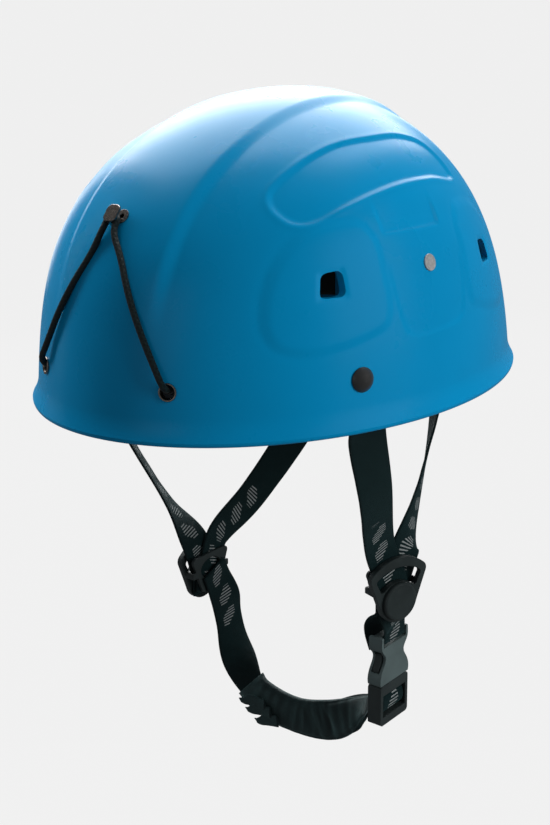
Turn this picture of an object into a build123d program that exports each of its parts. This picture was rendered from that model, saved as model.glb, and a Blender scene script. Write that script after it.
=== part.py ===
from build123d import *
import math
import os

# Climbing helmet. Frame: +Z up, the wearer faces -Y, the wearer's left is +X.
# Origin: centre of the shell's rim plane, where the head enters. Millimetres.

# ---- shell ----
HALF_LENGTH = 141.5        # rim plane, before the flare
HALF_WIDTH = 108.0
DOME_HEIGHT = 143.0
WALL = 2.8
RIM_FLARE = 4.0
FLARE_HEIGHT = 12.0
FRONT_ROUNDING, FRONT_LEAN = 3.3, 0.07
REAR_ROUNDING, REAR_LEAN = 1.95, 0.05
SIDE_ROUNDING, SIDE_LEAN = 3.7, 0.10
CROWN_SHIFT = 9.0          # the crown lies this far behind the rim's centre
VENT_MIRROR_Y = -15.0      # front and rear side vents mirror about this plane
VENT_OUTLINE = [(-78.0, 61.5), (-66.0, 61.5), (-65.5, 73.0), (-75.0, 72.0)]
VENT_CORNER = 2.4

# ---- fixings through the shell ----
FRONT_RIVET = (-63.0, 24.0)     # y, z on the side wall
REAR_RIVET = (24.0, 20.0)       # x, z on the rear wall
RIVET_HEAD_R, RIVET_HEAD_H = 5.8, 3.0
RIVET_SHANK_R = 2.4
WASHER_R, WASHER_T = 6.5, 1.0
RIVET_TAIL_R, RIVET_TAIL_T = 3.6, 0.9
EYELET_X, EYELET_Z = 38.5, 24.0
EYELET_R, EYELET_BORE = 3.0, 2.3
EYELET_FLANGE_R, EYELET_FLANGE_T = 4.4, 0.7
HOOK_Z = 94.0
HOOK_RIVET_R, HOOK_RIVET_BORE = 2.2, 1.3
HOOK_FLANGE_R, HOOK_FLANGE_T = 3.6, 0.9
HOOK_PLATE_T = 0.9
HOOK_GAP = 4.6                  # room for rivet flange and elastic between plate and cap
HOOK_CENTRE_X = -2.3            # neck and cap stand this far to the wearer's right of the rivet

# ---- soft goods ----
WEB_WIDTH, WEB_T = 20.0, 1.3
CRADLE_WIDTH = 15.0
HANGER_WIDTH, HANGER_T = 12.0, 1.8
STRAP_DEPTH = WALL + 1.9        # webbing centre below the shell's outer face at a rivet
HANGER_DEPTH = STRAP_DEPTH + WEB_T / 2 + 0.4 + HANGER_T / 2
WASHER_DEPTH = HANGER_DEPTH + HANGER_T / 2 + 0.4 + WASHER_T
ELASTIC_R = 1.5
SLEEVE_WIDTH, SLEEVE_T = 24.0, 6.0
SLEEVE_BORE_WIDTH, SLEEVE_BORE_T = 21.0, 2.2

# ---- headband and nape adjuster ----
BAND_T = 1.6
BAND_LOW, BAND_HIGH = -4.0, 18.0
BAND_HALF_WIDTH = 78.0
BAND_FRONT = 98.0
NAPE_Y = 92.0                   # mid plane of racks and pinion
KNOB_Z = 7.0
GEAR_MODULE, PINION_TEETH = 1.0, 12
PRESSURE_ANGLE = math.radians(20)
BACKLASH = 0.16
RACK_T = 2.0
RACK_ADDENDUM = 0.62
RACK_HALF = 16.0
ARM_TRAVEL = 12.6
HOUSING_HALF_WIDTH = 30.0
HOUSING_HALF_HEIGHT = 15.5
CAVITY_HALF_HEIGHT = 11.5
COVER_SCREW_X = 20.0

# ---- strap dividers ----
DIVIDER_T = 3.0
DIVIDER_DISC_R, DIVIDER_DISC_T = 10.5, 2.4
LEFT_DIVIDER = Plane(origin=(69, 5, -108), x_dir=(0.292, 0.956, 0), z_dir=(0.956, -0.292, 0))
RIGHT_DIVIDER = Plane(origin=(-60, -1, -128), x_dir=(0, -1, 0), z_dir=(-1, 0, 0))
FRONT_LAYER, REAR_LAYER = -1.05, -3.3      # webbing centres behind the divider's plate
POST_INSIDE, POST_OUTSIDE = 13.9, 15.3   # half the clear width and the full width over the posts
BACK_TOP, BACK_FOOT = 10.5, -12.5   # upper and lower edges of the divider's back plate

# ---- side release buckle ----
BUCKLE_X, BUCKLE_Y = 60.0, 13.0
BUCKLE_T, BUCKLE_WIDTH = 8.4, 26.0
BUCKLE_TOP, BUCKLE_SEAM, BUCKLE_END = -138.0, -166.0, -190.0
BAR_T = 4.0                     # webbing bars, thinner than the buckle
SLOT_WIDTH, SLOT_HEIGHT = 21.2, 3.4
MALE_SLOTS = (-174.1, -183.6)   # heights of the ladder half's two webbing slots
PRONG_T = 4.0

X, Y, Z = Vector(1, 0, 0), Vector(0, 1, 0), Vector(0, 0, 1)


# ======================= shared geometry =======================

def fullness(level, rounding, lean):
    """Share of the rim's half size that is left at this share of the dome's height."""
    return math.sqrt(max(0.0, 1 - level**rounding)) * (1 - lean * level)


def section(z, inset=0.0):
    """Half length, half width and centre y of the dome's ellipse at height z."""
    level = z / (DOME_HEIGHT - inset)
    front = (HALF_LENGTH - inset) * fullness(level, FRONT_ROUNDING, FRONT_LEAN)
    rear = (HALF_LENGTH - inset) * fullness(level, REAR_ROUNDING, REAR_LEAN)
    side = (HALF_WIDTH - inset) * fullness(level, SIDE_ROUNDING, SIDE_LEAN)
    flare = RIM_FLARE * max(0.0, 1 - z / FLARE_HEIGHT) ** 2
    return (front + rear) / 2 + flare, side + flare, (rear - front) / 2 + CROWN_SHIFT * level**2


def dome(inset, low=0.0, steps=13):
    """Closed dome, stacked from ellipses that crowd together towards the crown."""
    top = DOME_HEIGHT - inset
    heights = [low + z for z in (0, 4, 8, 12)] if low == 0 else [low]
    start = heights[-1]
    for i in range(1, steps):
        turn = math.radians(88.0) * i / (steps - 1)
        heights.append(start + (top - start) * math.sin(turn))
    rings = []
    for z in heights:
        half_length, half_width, centre = section(z, inset)
        rings.append(Plane((0, centre, z)) * Ellipse(half_width, half_length))
    return loft(rings)


def outside(y, z):
    """Point on the left outer wall at this y and z, and the outward normal there."""
    half_length, half_width, centre = section(z)
    reach = (y - centre) / half_length
    point = Vector(half_width * math.sqrt(1 - reach**2), y, z)
    return point, wall_normal(point)


def outside_end(x, z, side):
    """The same on the front (side -1) or rear (side 1) wall at this x and z."""
    half_length, half_width, centre = section(z)
    point = Vector(x, centre + side * half_length * math.sqrt(1 - (x / half_width) ** 2), z)
    return point, wall_normal(point)


def wall_normal(point):
    """Outward normal of the dome, from the slope of its implicit equation."""
    def depth(p):
        half_length, half_width, centre = section(p.Z)
        return (p.X / half_width) ** 2 + ((p.Y - centre) / half_length) ** 2

    step = 0.01
    slope = [depth(point + axis * step) - depth(point - axis * step) for axis in (X, Y, Z)]
    return Vector(*slope).normalized()


def mirrored(shape):
    """The same piece on the wearer's right."""
    return mirror(shape, about=Plane.YZ)


def ribbon(stations, width=WEB_WIDTH, thickness=WEB_T, first=0, last=None):
    """Flat band through (point, face normal) stations, or through some of them."""
    points = [Vector(*s[0]) for s in stations]
    final = len(points) - 1
    sections = []
    for i in range(first, (final if last is None else last) + 1):
        along = (points[min(i + 1, final)] - points[max(i - 1, 0)]).normalized()
        across = along.cross(Vector(*stations[i][1])).normalized()
        plane = Plane(origin=points[i], x_dir=across, z_dir=along)
        sections.append(plane * Rectangle(width, thickness))
    return loft(sections, ruled=True)


def on(plane, across, up, out):
    """World position of a place given in a divider's own directions."""
    return tuple(plane.from_local_coords(Vector(across, up, out)))


def rod(start, axis, radius, length):
    """Round bar from a point along an axis."""
    return Plane(origin=start, z_dir=axis) * extrude(Circle(radius), length)


def tube(start, axis, outer, inner, length):
    return rod(start, axis, outer, length) - rod(start - axis, axis, inner, length + 2)


def box_between(low, high):
    """Plain block from its lowest to its highest corner."""
    size = [b - a for a, b in zip(low, high)]
    middle = [(a + b) / 2 for a, b in zip(low, high)]
    return Pos(*middle) * Box(*size)


# ======================= shell and its fixings =======================

def vent_cutters():
    """Prisms for the four side vents, front and rear on both sides."""
    face = make_face(Polyline(*[(y, z) for y, z in VENT_OUTLINE], close=True))
    face = fillet(face.vertices(), VENT_CORNER)
    front = Plane.YZ.offset(60) * face
    front = extrude(front, 60, dir=(1, 0, 0))
    rear = mirror(front, about=Plane.XZ.offset(-VENT_MIRROR_Y))
    return [front, rear, mirrored(front), mirrored(rear)]


def fixing_points():
    """Outer wall point and normal of each through fixing."""
    front, front_normal = outside(*FRONT_RIVET)
    rear, rear_normal = outside_end(*REAR_RIVET, 1)
    eyelet, eyelet_normal = outside_end(EYELET_X, EYELET_Z, -1)
    hook, hook_normal = outside_end(0, HOOK_Z, -1)
    return {
        "front": (front, front_normal),
        "rear": (rear, rear_normal),
        "eyelet": (eyelet, eyelet_normal),
        "hook": (hook, hook_normal),
    }


FIXINGS = fixing_points()


def outer_shell():
    body = dome(0) - dome(WALL)
    for cutter in vent_cutters():
        body -= cutter
    for name, radius in (("front", RIVET_SHANK_R), ("rear", RIVET_SHANK_R), ("eyelet", EYELET_R)):
        point, normal = FIXINGS[name]
        hole = rod(point - normal * 8, normal, radius + 0.1, 14)
        body = body - hole - mirrored(hole)
    point, normal = FIXINGS["hook"]
    return body - rod(point - normal * 8, normal, HOOK_RIVET_R + 0.1, 14)


def crown_liner():
    gap, thickness, low = 1.0, 21.0, 80.0
    point, normal = FIXINGS["hook"]
    pocket = rod(point - normal * 9, normal, HOOK_FLANGE_R + 1.5, 9)
    return dome(WALL + gap, low) - dome(WALL + gap + thickness, low) - pocket


def rivet(name):
    """Domed plastic rivet: head outside, shank through wall, webbing, hanger and washer."""
    point, normal = FIXINGS[name]
    seat = point + normal * 0.35
    ball_r = (RIVET_HEAD_R**2 + RIVET_HEAD_H**2) / (2 * RIVET_HEAD_H)
    half_angle = math.asin(RIVET_HEAD_R / ball_r) / 2
    middle = (ball_r * math.sin(half_angle), RIVET_HEAD_H - ball_r + ball_r * math.cos(half_angle))
    arc = ThreePointArc((RIVET_HEAD_R, 0), middle, (0, RIVET_HEAD_H))
    profile = make_face([Line((0, 0), (RIVET_HEAD_R, 0)), arc, Line((0, RIVET_HEAD_H), (0, 0))])
    head = Plane(origin=seat, z_dir=normal) * revolve(Plane.XZ * profile, Axis.Z)
    depth = WASHER_DEPTH + 0.1
    shank = rod(point - normal * depth, normal, RIVET_SHANK_R, depth + 0.6)
    tail = rod(point - normal * (depth + RIVET_TAIL_T), normal, RIVET_TAIL_R, RIVET_TAIL_T)
    return head + shank + tail


def washer(name):
    point, normal = FIXINGS[name]
    return tube(point - normal * WASHER_DEPTH, normal, WASHER_R, RIVET_SHANK_R + 0.1, WASHER_T)


def lamp_eyelet():
    """Rolled metal eyelet: a barrel through the wall with a flange outside."""
    point, normal = FIXINGS["eyelet"]
    barrel = tube(point - normal * (WALL + 1.2), normal, EYELET_R, EYELET_BORE, WALL + 1.7)
    flange = tube(point + normal * 0.3, normal, EYELET_FLANGE_R, EYELET_BORE, EYELET_FLANGE_T)
    return barrel + flange


def hook_plane():
    """Local directions at the hook: x to the wearer's left, y up the shell, z outward."""
    point, normal = FIXINGS["hook"]
    return Plane(origin=point + normal * 0.3, x_dir=(1, 0, 0), z_dir=normal)


def lamp_hook():
    """Lacing hook: riveted plate, a neck at its lower edge, and a cap over the elastic's loop."""
    plane = hook_plane()
    plate = Pos(-1.0, -0.4) * extrude(fillet(Rectangle(10.4, 10.6).vertices(), 4.4), HOOK_PLATE_T)
    plate -= Pos(0, 0, -1) * Cylinder(HOOK_RIVET_R + 0.05, 6)
    neck = Pos(HOOK_CENTRE_X, -4.5, HOOK_PLATE_T + HOOK_GAP / 2) * Box(2.4, 1.8, HOOK_GAP)
    cap_outline = fillet(Rectangle(7.6, 8.6).vertices(), 2.6)
    cap = extrude(cap_outline, HOOK_PLATE_T)
    cap = fillet(cap.faces().sort_by(Axis.Z)[-1].edges(), 0.35)
    return plane * (plate + neck + Pos(HOOK_CENTRE_X, -1.1, HOOK_PLATE_T + HOOK_GAP) * cap)


def hook_rivet():
    """Tubular rivet that fastens the hook, with an open bore and flanges at both ends."""
    point, normal = FIXINGS["hook"]
    base = point - normal * (WALL + 1.6)
    length = WALL + 1.6 + 0.3 + HOOK_PLATE_T + 0.1
    barrel = tube(base, normal, HOOK_RIVET_R, HOOK_RIVET_BORE, length)
    outer = tube(base + normal * length, normal, HOOK_FLANGE_R, HOOK_RIVET_BORE, HOOK_FLANGE_T)
    inner = tube(base - normal * HOOK_FLANGE_T, normal, HOOK_FLANGE_R, HOOK_RIVET_BORE, HOOK_FLANGE_T)
    return barrel + outer + inner


# ======================= lamp elastic =======================

def elastic_route():
    """One leg on the shell, the loop over the hook's neck, then the other leg."""
    lift = ELASTIC_R + 0.9
    eyelet, eyelet_normal = FIXINGS["eyelet"]
    leg = [eyelet - eyelet_normal * 6.0, eyelet + eyelet_normal * 3.9]
    for x, z in ((32.0, 37.0), (24.0, 52.0), (16.0, 66.0), (9.0, 78.0)):
        point, normal = outside_end(x, z, -1)
        leg.append(point + normal * lift)
    plane = hook_plane()
    loop_height = HOOK_PLATE_T + HOOK_GAP - 0.2 - ELASTIC_R
    spots = ((3.2, -9.0), (3.0, -1.5), (-3.0, -1.5), (-3.2, -9.0))
    loop = [plane.from_local_coords(Vector(HOOK_CENTRE_X + x, y, loop_height)) for x, y in spots]
    other = [Vector(-p.X, p.Y, p.Z) for p in reversed(leg)]
    return leg + loop + other


def corner_radii(points, limit):
    """Largest arcs that the runs leave room for."""
    radii = []
    for before, here, after in zip(points, points[1:], points[2:]):
        first, second = here - before, after - here
        half_turn = math.radians(first.get_angle(second)) / 2
        radii.append(min(limit, 0.45 * min(first.length, second.length) / math.tan(half_turn)))
    return radii


def lamp_elastic():
    points = elastic_route()
    radii = corner_radii(points, 60.0)
    path = FilletPolyline(*points, radius=radii)
    print("lamp elastic length", round(path.length, 1), "radii", [round(r, 1) for r in radii])
    start = Plane(origin=points[0], z_dir=points[1] - points[0])
    return sweep(start * Circle(ELASTIC_R), path=path)


def elastic_knot():
    """Stopper knot inside the shell, just behind the eyelet."""
    point, normal = FIXINGS["eyelet"]
    ball = Pos(*(point - normal * 9.3)) * Sphere(3.6)
    return ball & rod(point - normal * 14, normal, 6, 7.7)


# ======================= webbing =======================

def pierced(band, name, side):
    """Punches the rivet hole through a band that the rivet holds."""
    point, normal = FIXINGS[name]
    hole = rod(point - normal * (WASHER_DEPTH + 2), normal, RIVET_SHANK_R + 0.1, WASHER_DEPTH + 4)
    return band - (hole if side > 0 else mirrored(hole))


def anchor(name, side, depth, down=0.0, spread=0.0):
    """Place inside the wall at a rivet: depth below the outer face, shifted down and sideways."""
    point, normal = FIXINGS[name]
    sideways = normal.cross(Z).normalized()
    up_the_wall = sideways.cross(normal).normalized()
    place = point - normal * depth - up_the_wall * down + sideways * spread
    return (side * place.X, place.Y, place.Z)


def facing(name, side):
    normal = FIXINGS[name][1]
    return (side * normal.X, normal.Y, normal.Z)


LEFT_OUT, RIGHT_OUT = (0.956, -0.292, 0), (-1, 0, 0)


def strap_front_left():
    stations = [
        (anchor("front", 1, STRAP_DEPTH, down=-9), facing("front", 1)),
        (anchor("front", 1, STRAP_DEPTH, down=6, spread=-2), facing("front", 1)),
        (anchor("front", 1, STRAP_DEPTH, down=16, spread=-5), facing("front", 1)),
        ((87.4, -50.0, -9), (0.95, -0.30, 0)),
        ((79.2, -30.0, -42), (0.95, -0.29, 0)),
        (on(LEFT_DIVIDER, -9.0, 22, FRONT_LAYER), LEFT_OUT),
        (on(LEFT_DIVIDER, -4.4, 11, FRONT_LAYER), LEFT_OUT),
        (on(LEFT_DIVIDER, -0.8, 0, FRONT_LAYER), LEFT_OUT),
        (on(LEFT_DIVIDER, 0.0, -11, FRONT_LAYER), LEFT_OUT),
        ((67.4, 8.6, -127), (0.97, -0.24, 0)),
        ((63.9, 12.4, -133), (1, 0, 0)),
        ((63.3, 13.0, -138), (1, 0, 0)),
        ((63.3, 13.0, -142.2), (1, 0, 0)),
    ]
    turn = box_between((54.3, 3.0, -143.2), (63.9, 23.0, -141.9))
    return pierced(ribbon(stations), "front", 1) + turn


def strap_rear_left():
    stations = [
        (anchor("rear", 1, STRAP_DEPTH, down=-9), facing("rear", 1)),
        (anchor("rear", 1, STRAP_DEPTH, down=6, spread=1), facing("rear", 1)),
        (anchor("rear", 1, STRAP_DEPTH + 1.2, down=13, spread=2.5), facing("rear", 1)),
        ((33.0, 108.0, -8), (0.45, 0.80, -0.3)),
        ((44.0, 79.0, -41), (0.72, 0.62, -0.2)),
        ((58.0, 42.0, -72), (0.92, 0.30, -0.1)),
        (on(LEFT_DIVIDER, 10.0, 21, REAR_LAYER), LEFT_OUT),
        (on(LEFT_DIVIDER, 6.4, 11, REAR_LAYER), LEFT_OUT),
        (on(LEFT_DIVIDER, 2.2, 0, REAR_LAYER), LEFT_OUT),
        (on(LEFT_DIVIDER, 0.0, -9.5, REAR_LAYER - 0.4), LEFT_OUT),
        (on(LEFT_DIVIDER, 0.0, -13.2, REAR_LAYER - 0.4), LEFT_OUT),
        ((59.5, 8.4, -126.5), (0.80, -0.24, -0.5)),
        ((53.6, 10.8, -131.5), (0.95, -0.1, -0.2)),
        ((51.8, 12.4, -138.0), (0.99, 0, 0.1)),
        ((54.4, 13.0, -147.5), (0.97, 0, 0.25)),
    ]
    return pierced(ribbon(stations), "rear", 1)


def strap_front_right():
    stations = [
        (anchor("front", -1, STRAP_DEPTH, down=-9), facing("front", -1)),
        (anchor("front", -1, STRAP_DEPTH, down=6, spread=-2), facing("front", -1)),
        (anchor("front", -1, STRAP_DEPTH, down=16, spread=-5), facing("front", -1)),
        ((-87.4, -48.0, -12), (-0.78, -0.50, -0.20)),
        ((-81.0, -31.0, -52), (-0.59, -0.60, -0.31)),
        ((-70.0, -17.0, -86), (-0.76, -0.48, -0.16)),
        (on(RIGHT_DIVIDER, 7.5, 18, FRONT_LAYER), RIGHT_OUT),
        (on(RIGHT_DIVIDER, 3.5, 7, FRONT_LAYER), RIGHT_OUT),
        (on(RIGHT_DIVIDER, 0.6, -3, FRONT_LAYER), RIGHT_OUT),
        (on(RIGHT_DIVIDER, 0.0, -14.5, FRONT_LAYER), RIGHT_OUT),
    ]
    return pierced(ribbon(stations), "front", -1)


def strap_rear_right():
    stations = [
        (anchor("rear", -1, STRAP_DEPTH, down=-9), facing("rear", -1)),
        (anchor("rear", -1, STRAP_DEPTH, down=6, spread=1), facing("rear", -1)),
        (anchor("rear", -1, STRAP_DEPTH + 1.2, down=13, spread=2.5), facing("rear", -1)),
        ((-33.0, 104.0, -12), (-0.45, 0.80, -0.3)),
        ((-42.0, 60.0, -62), (-0.85, 0.45, -0.2)),
        ((-52.0, 34.0, -93), (-0.95, 0.25, -0.1)),
        (on(RIGHT_DIVIDER, -9.0, 17, REAR_LAYER), RIGHT_OUT),
        (on(RIGHT_DIVIDER, -4.4, 7, REAR_LAYER), RIGHT_OUT),
        (on(RIGHT_DIVIDER, -1.0, -3, REAR_LAYER), RIGHT_OUT),
        (on(RIGHT_DIVIDER, 0.0, -13, REAR_LAYER), RIGHT_OUT),
    ]
    return pierced(ribbon(stations), "rear", -1)


CHIN_ROUTE = [
    ((-53.0, 0.5, -127.5), (1, 0, 0)),
    ((-53.0, 3.6, -135.0), (1, 0, 0)),
    ((-50.8, 7.6, -148.0), (0.97, -0.25, 0)),
    ((-51.6, 11.0, -162.5), (0.99, -0.12, 0)),
    ((-47.5, 10.5, -177.5), (0.93, -0.36, 0)),
    ((-39.0, 9.0, -192), (0.50, -0.86, 0)),
    ((-33.5, 8.6, -198.4), (0.20, -0.97, 0)),
    ((-26.5, 8.2, -203.2), (-0.02, -1.0, 0)),
    ((-10.0, 8.5, -207.4), (-0.06, -0.99, 0)),
    ((8.0, 9.5, -207.6), (0.08, -0.99, 0)),
    ((24.0, 10.5, -203.6), (0.2, -0.95, 0.1)),
    ((37.0, 11.5, -196.2), (0.3, -0.70, 0.55)),
    ((47.0, 12.5, -189.0), (0.3, -0.25, 0.9)),
    ((53.0, 13.0, -184.8), (0.42, 0, 0.9)),
]
SLEEVE_FIRST, SLEEVE_LAST = 6, 11


def chin_strap():
    return ribbon(CHIN_ROUTE)


def chin_sleeve():
    """Padded fabric tube over the middle of the chin strap."""
    ends = {"first": SLEEVE_FIRST, "last": SLEEVE_LAST}
    outer = ribbon(CHIN_ROUTE, SLEEVE_WIDTH, SLEEVE_T, **ends)
    return outer - ribbon(CHIN_ROUTE, SLEEVE_BORE_WIDTH, SLEEVE_BORE_T, **ends)


def chin_tail():
    """Free ends of the folded webbing, layered in front of the sleeve's first end."""
    stations = [
        ((-22.0, 3.4, -212.0), (-0.04, -1.0, 0)),
        ((-29.5, 3.2, -210.6), (-0.04, -1.0, 0)),
        ((-37.0, 2.7, -208.0), (-0.08, -1.0, 0)),
    ]
    return ribbon(stations, 12.0, 1.6)


def buckle_wrap():
    """Chin webbing round the male half's middle bar, with its tail folded behind."""
    out, back = BUCKLE_X + BAR_T / 2 + 0.85, BUCKLE_X - BAR_T / 2 - 0.85
    upper, lower = MALE_SLOTS
    half = WEB_T / 2
    outline = [
        (back - 3.6, lower - half), (out + half, lower - half), (out + half, upper + half),
        (back - 0.2, upper + half), (back - 0.2, upper - half), (out - half, upper - half),
        (out - half, lower + half), (back - 3.6, lower + half),
    ]
    face = make_face(Polyline(*outline, close=True))
    band = extrude(Plane.XZ * face, WEB_WIDTH / 2, both=True)
    return Pos(0, BUCKLE_Y, 0) * band


# ======================= strap dividers =======================

def divider_outline(grow):
    """Rounded triangle: arched top, tapering sides, round bottom."""
    top = ThreePointArc((-17.5 - grow, 9), (0, 16 + grow), (17.5 + grow, 9))
    right = Line((17.5 + grow, 9), (10.5 + grow, -9))
    bottom = ThreePointArc((10.5 + grow, -9), (0, -17 - grow), (-10.5 - grow, -9))
    left = Line((-10.5 - grow, -9), (-17.5 - grow, 9))
    return make_face([top, right, bottom, left])


def divider_window():
    top = ThreePointArc((-15, 7), (0, 12.2), (15, 7))
    right = Line((15, 7), (11.0, -1))
    bottom = ThreePointArc((11.0, -1), (0, 4.2), (-11.0, -1))
    left = Line((-11.0, -1), (-15, 7))
    return fillet(make_face([top, right, bottom, left]).vertices(), 1.6)


def divider(plane):
    """Front plate with a window, back plate with an eye, and two posts beside the webbing."""
    outline = fillet(divider_outline(1.5).vertices(), 4.0)
    plate = extrude(outline, DIVIDER_T) - Pos(0, 0, -1) * extrude(divider_window(), DIVIDER_T + 2)
    back_depth = REAR_LAYER - 1.1
    inner = divider_outline(-2.2) & Pos(0, (BACK_TOP + BACK_FOOT) / 2) * Rectangle(60, BACK_TOP - BACK_FOOT)
    inner = fillet(inner.vertices(), 2.4)
    cross_bar = fillet(Rectangle(2 * POST_OUTSIDE, 4).vertices(), 1.0)
    eye = Pos(0, 1.5) * Ellipse(8.5, 6.0)
    back = Pos(0, 0, back_depth - 1.6) * extrude(inner + cross_bar - eye, 1.6)
    posts = cross_bar - Rectangle(2 * POST_INSIDE, 9)
    return plane * (plate + back + Pos(0, 0, back_depth) * extrude(posts, -back_depth))


def divider_disc(plane):
    """Round cover on the divider's lower part."""
    disc = extrude(Circle(DIVIDER_DISC_R), DIVIDER_DISC_T)
    disc = fillet(disc.faces().sort_by(Axis.Z)[-1].edges(), 1.4)
    return plane * Pos(0, -6.5, DIVIDER_T + 0.02) * disc


# ======================= side release buckle =======================

WAIST = [
    (13.0, -14.0), (12.9, -8.0), (11.2, -4.5), (8.8, -0.5),
    (8.6, 1.5), (10.2, 4.2), (12.1, 7.0), (12.5, 10.5), (12.2, 14.0),
]


def waisted():
    """Front view of the female half: sides drawn in round the prongs' pads."""
    right = Spline(*WAIST)
    left = Spline(*[(-y, z) for y, z in reversed(WAIST)])
    (half_top, high), (half_low, low) = WAIST[-1], WAIST[0]
    top = Line((half_top, high), (-half_top, high))
    bottom = Line((-half_low, low), (half_low, low))
    return make_face([right, top, left, bottom])


def buckle_block(face, thickness, z):
    """Extrudes a front view along X about the buckle's mid plane."""
    solid = extrude(Plane.YZ * face, thickness / 2, both=True)
    return Pos(BUCKLE_X, BUCKLE_Y, z) * solid


def thinned(body, half_bar, low, high):
    """Cuts both faces back to a webbing bar between two heights."""
    half_width, reach = SLOT_WIDTH / 2, 9
    for near, far in ((-reach, -half_bar), (half_bar, reach)):
        corner = (BUCKLE_X + near, BUCKLE_Y - half_width, low)
        body -= box_between(corner, (BUCKLE_X + far, BUCKLE_Y + half_width, high))
    return body


def buckle_female():
    """Receptacle with a mouth below, a window in each side and a webbing bar on top."""
    body = buckle_block(waisted(), BUCKLE_T, (BUCKLE_TOP + BUCKLE_SEAM) / 2)
    body = fillet(body.edges().filter_by(GeomType.BSPLINE, reverse=True).group_by(Axis.Z)[-1], 0.8)
    mouth = buckle_block(Rectangle(21.8, 19.5), PRONG_T + 0.8, BUCKLE_SEAM + 19.5 / 2 - 0.5)
    windows = buckle_block(Rectangle(40, 11.6), PRONG_T + 1.2, -153.2)
    slot = buckle_block(Rectangle(SLOT_WIDTH, SLOT_HEIGHT), 20, BUCKLE_TOP - 4.3)
    return thinned(body - mouth - windows - slot, 2.2, -141.2, -130.0)


def buckle_male():
    """Ladder half: head block, guide tongue, and three bars with two webbing slots."""
    low, high = BUCKLE_END, BUCKLE_SEAM - 0.3
    face = fillet(Rectangle(BUCKLE_WIDTH, high - low).vertices(), 2.2)
    body = buckle_block(face, BUCKLE_T, (low + high) / 2)
    for z in MALE_SLOTS:
        body -= buckle_block(Rectangle(SLOT_WIDTH, SLOT_HEIGHT), 20, z)
    body = thinned(body, BAR_T / 2, -182.0, -175.7)
    tongue = buckle_block(Rectangle(5.0, 16), PRONG_T - 1.0, high + 7.8)
    return body + tongue


def prong(side):
    """Springy side prong with a barbed pad that stands in the side window."""
    outline = [
        (10.6, -165.9), (8.2, -165.9), (7.6, -156.0), (7.2, -150.4), (8.2, -149.0),
        (9.2, -150.4), (10.4, -154.2), (12.1, -157.4), (12.1, -158.5), (10.4, -158.8),
    ]
    face = make_face(Polyline(*[(side * y, z) for y, z in outline], close=True))
    solid = extrude(Plane.YZ * face, PRONG_T / 2, both=True)
    return Pos(BUCKLE_X, BUCKLE_Y, 0) * solid


# ======================= headband, cradle and nape adjuster =======================

def band_point(degrees, inset=0.0):
    """Plan position and outward direction on the headband's front half, 0 at the brow."""
    turn = math.radians(degrees)
    x = (BAND_HALF_WIDTH - inset) * math.sin(turn)
    y = -(BAND_FRONT - inset) * math.cos(turn)
    return (x, y), (math.sin(turn) / BAND_HALF_WIDTH, -math.cos(turn) / BAND_FRONT, 0)


def band_piece(first, last, step, inset, height, thickness, z):
    stations = []
    count = round((last - first) / step)
    for i in range(count + 1):
        (x, y), out = band_point(first + step * i, inset)
        stations.append(((x, y, z), out))
    return ribbon(stations, height, thickness)


BAND_MID, BAND_HEIGHT = (BAND_LOW + BAND_HIGH) / 2, BAND_HIGH - BAND_LOW


def headband():
    """Plastic band round the brow from temple to temple."""
    return band_piece(-92, 92, 8, 0, BAND_HEIGHT, BAND_T, BAND_MID)


def brow_pad():
    return band_piece(-56, 56, 8, 3.4, BAND_HEIGHT - 1, 4.2, BAND_MID)


SIDE_ROUTE = [
    ((78.0, 5.6), (1, 0, 0)), ((78.6, 18), (1, 0.02, 0)), ((78.2, 32), (1, 0.08, 0)),
    ((76.4, 46), (0.97, 0.2, 0)), ((73.2, 57.5), (0.93, 0.35, 0)),
]
ARM_ROUTE = [
    ((71.6, 61.6), (0.9, 0.4, 0)), ((67.0, 71.5), (0.82, 0.55, 0)), ((60.0, 80.6), (0.62, 0.78, 0)),
    ((52.0, 87.4), (0.45, 0.9, 0)), ((45.0, 91.0), (0.2, 0.98, 0)), ((43.2, 91.9), (0, 1, 0)),
]


def headband_side():
    """Flexible stretch of the headband behind the temple."""
    return ribbon([((x, y, BAND_MID), out) for (x, y), out in SIDE_ROUTE], BAND_HEIGHT, BAND_T)


def rack_outline(length):
    """Straight toothed strip: pitch line on y = 0, teeth towards -y, a tooth gap at x = 0."""
    pitch = math.pi * GEAR_MODULE
    slope = math.tan(PRESSURE_ANGLE)
    half = pitch / 4 - BACKLASH / 4
    root, tip = 1.25 * GEAR_MODULE, -RACK_ADDENDUM
    count = int((2 * RACK_HALF) / pitch) // 2
    points = [(length, root), (length, root + 3.4), (-RACK_HALF - 1, root + 3.4), (-RACK_HALF - 1, root)]
    for i in range(-count, count):
        centre = (i + 0.5) * pitch
        points += [
            (centre - half - root * slope, root), (centre - half - tip * slope, tip),
            (centre + half + tip * slope, tip), (centre + half + root * slope, root),
        ]
    return make_face(Polyline(*points, close=True))


def nape_arm(upper):
    """Headband arm with its rack: above the pinion on the left, below it on the right."""
    pitch_radius = GEAR_MODULE * PINION_TEETH / 2
    strip = extrude(Plane.XZ * rack_outline(44.0), RACK_T / 2, both=True)
    strip = Pos(0, NAPE_Y, KNOB_Z + pitch_radius) * strip
    if not upper:
        strip = mirror(strip, about=Plane.XY.offset(KNOB_Z))
    band = ribbon([((x, y, BAND_MID), out) for (x, y), out in ARM_ROUTE], BAND_HEIGHT, BAND_T)
    arm = band + strip
    return arm if upper else mirrored(arm)


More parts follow.
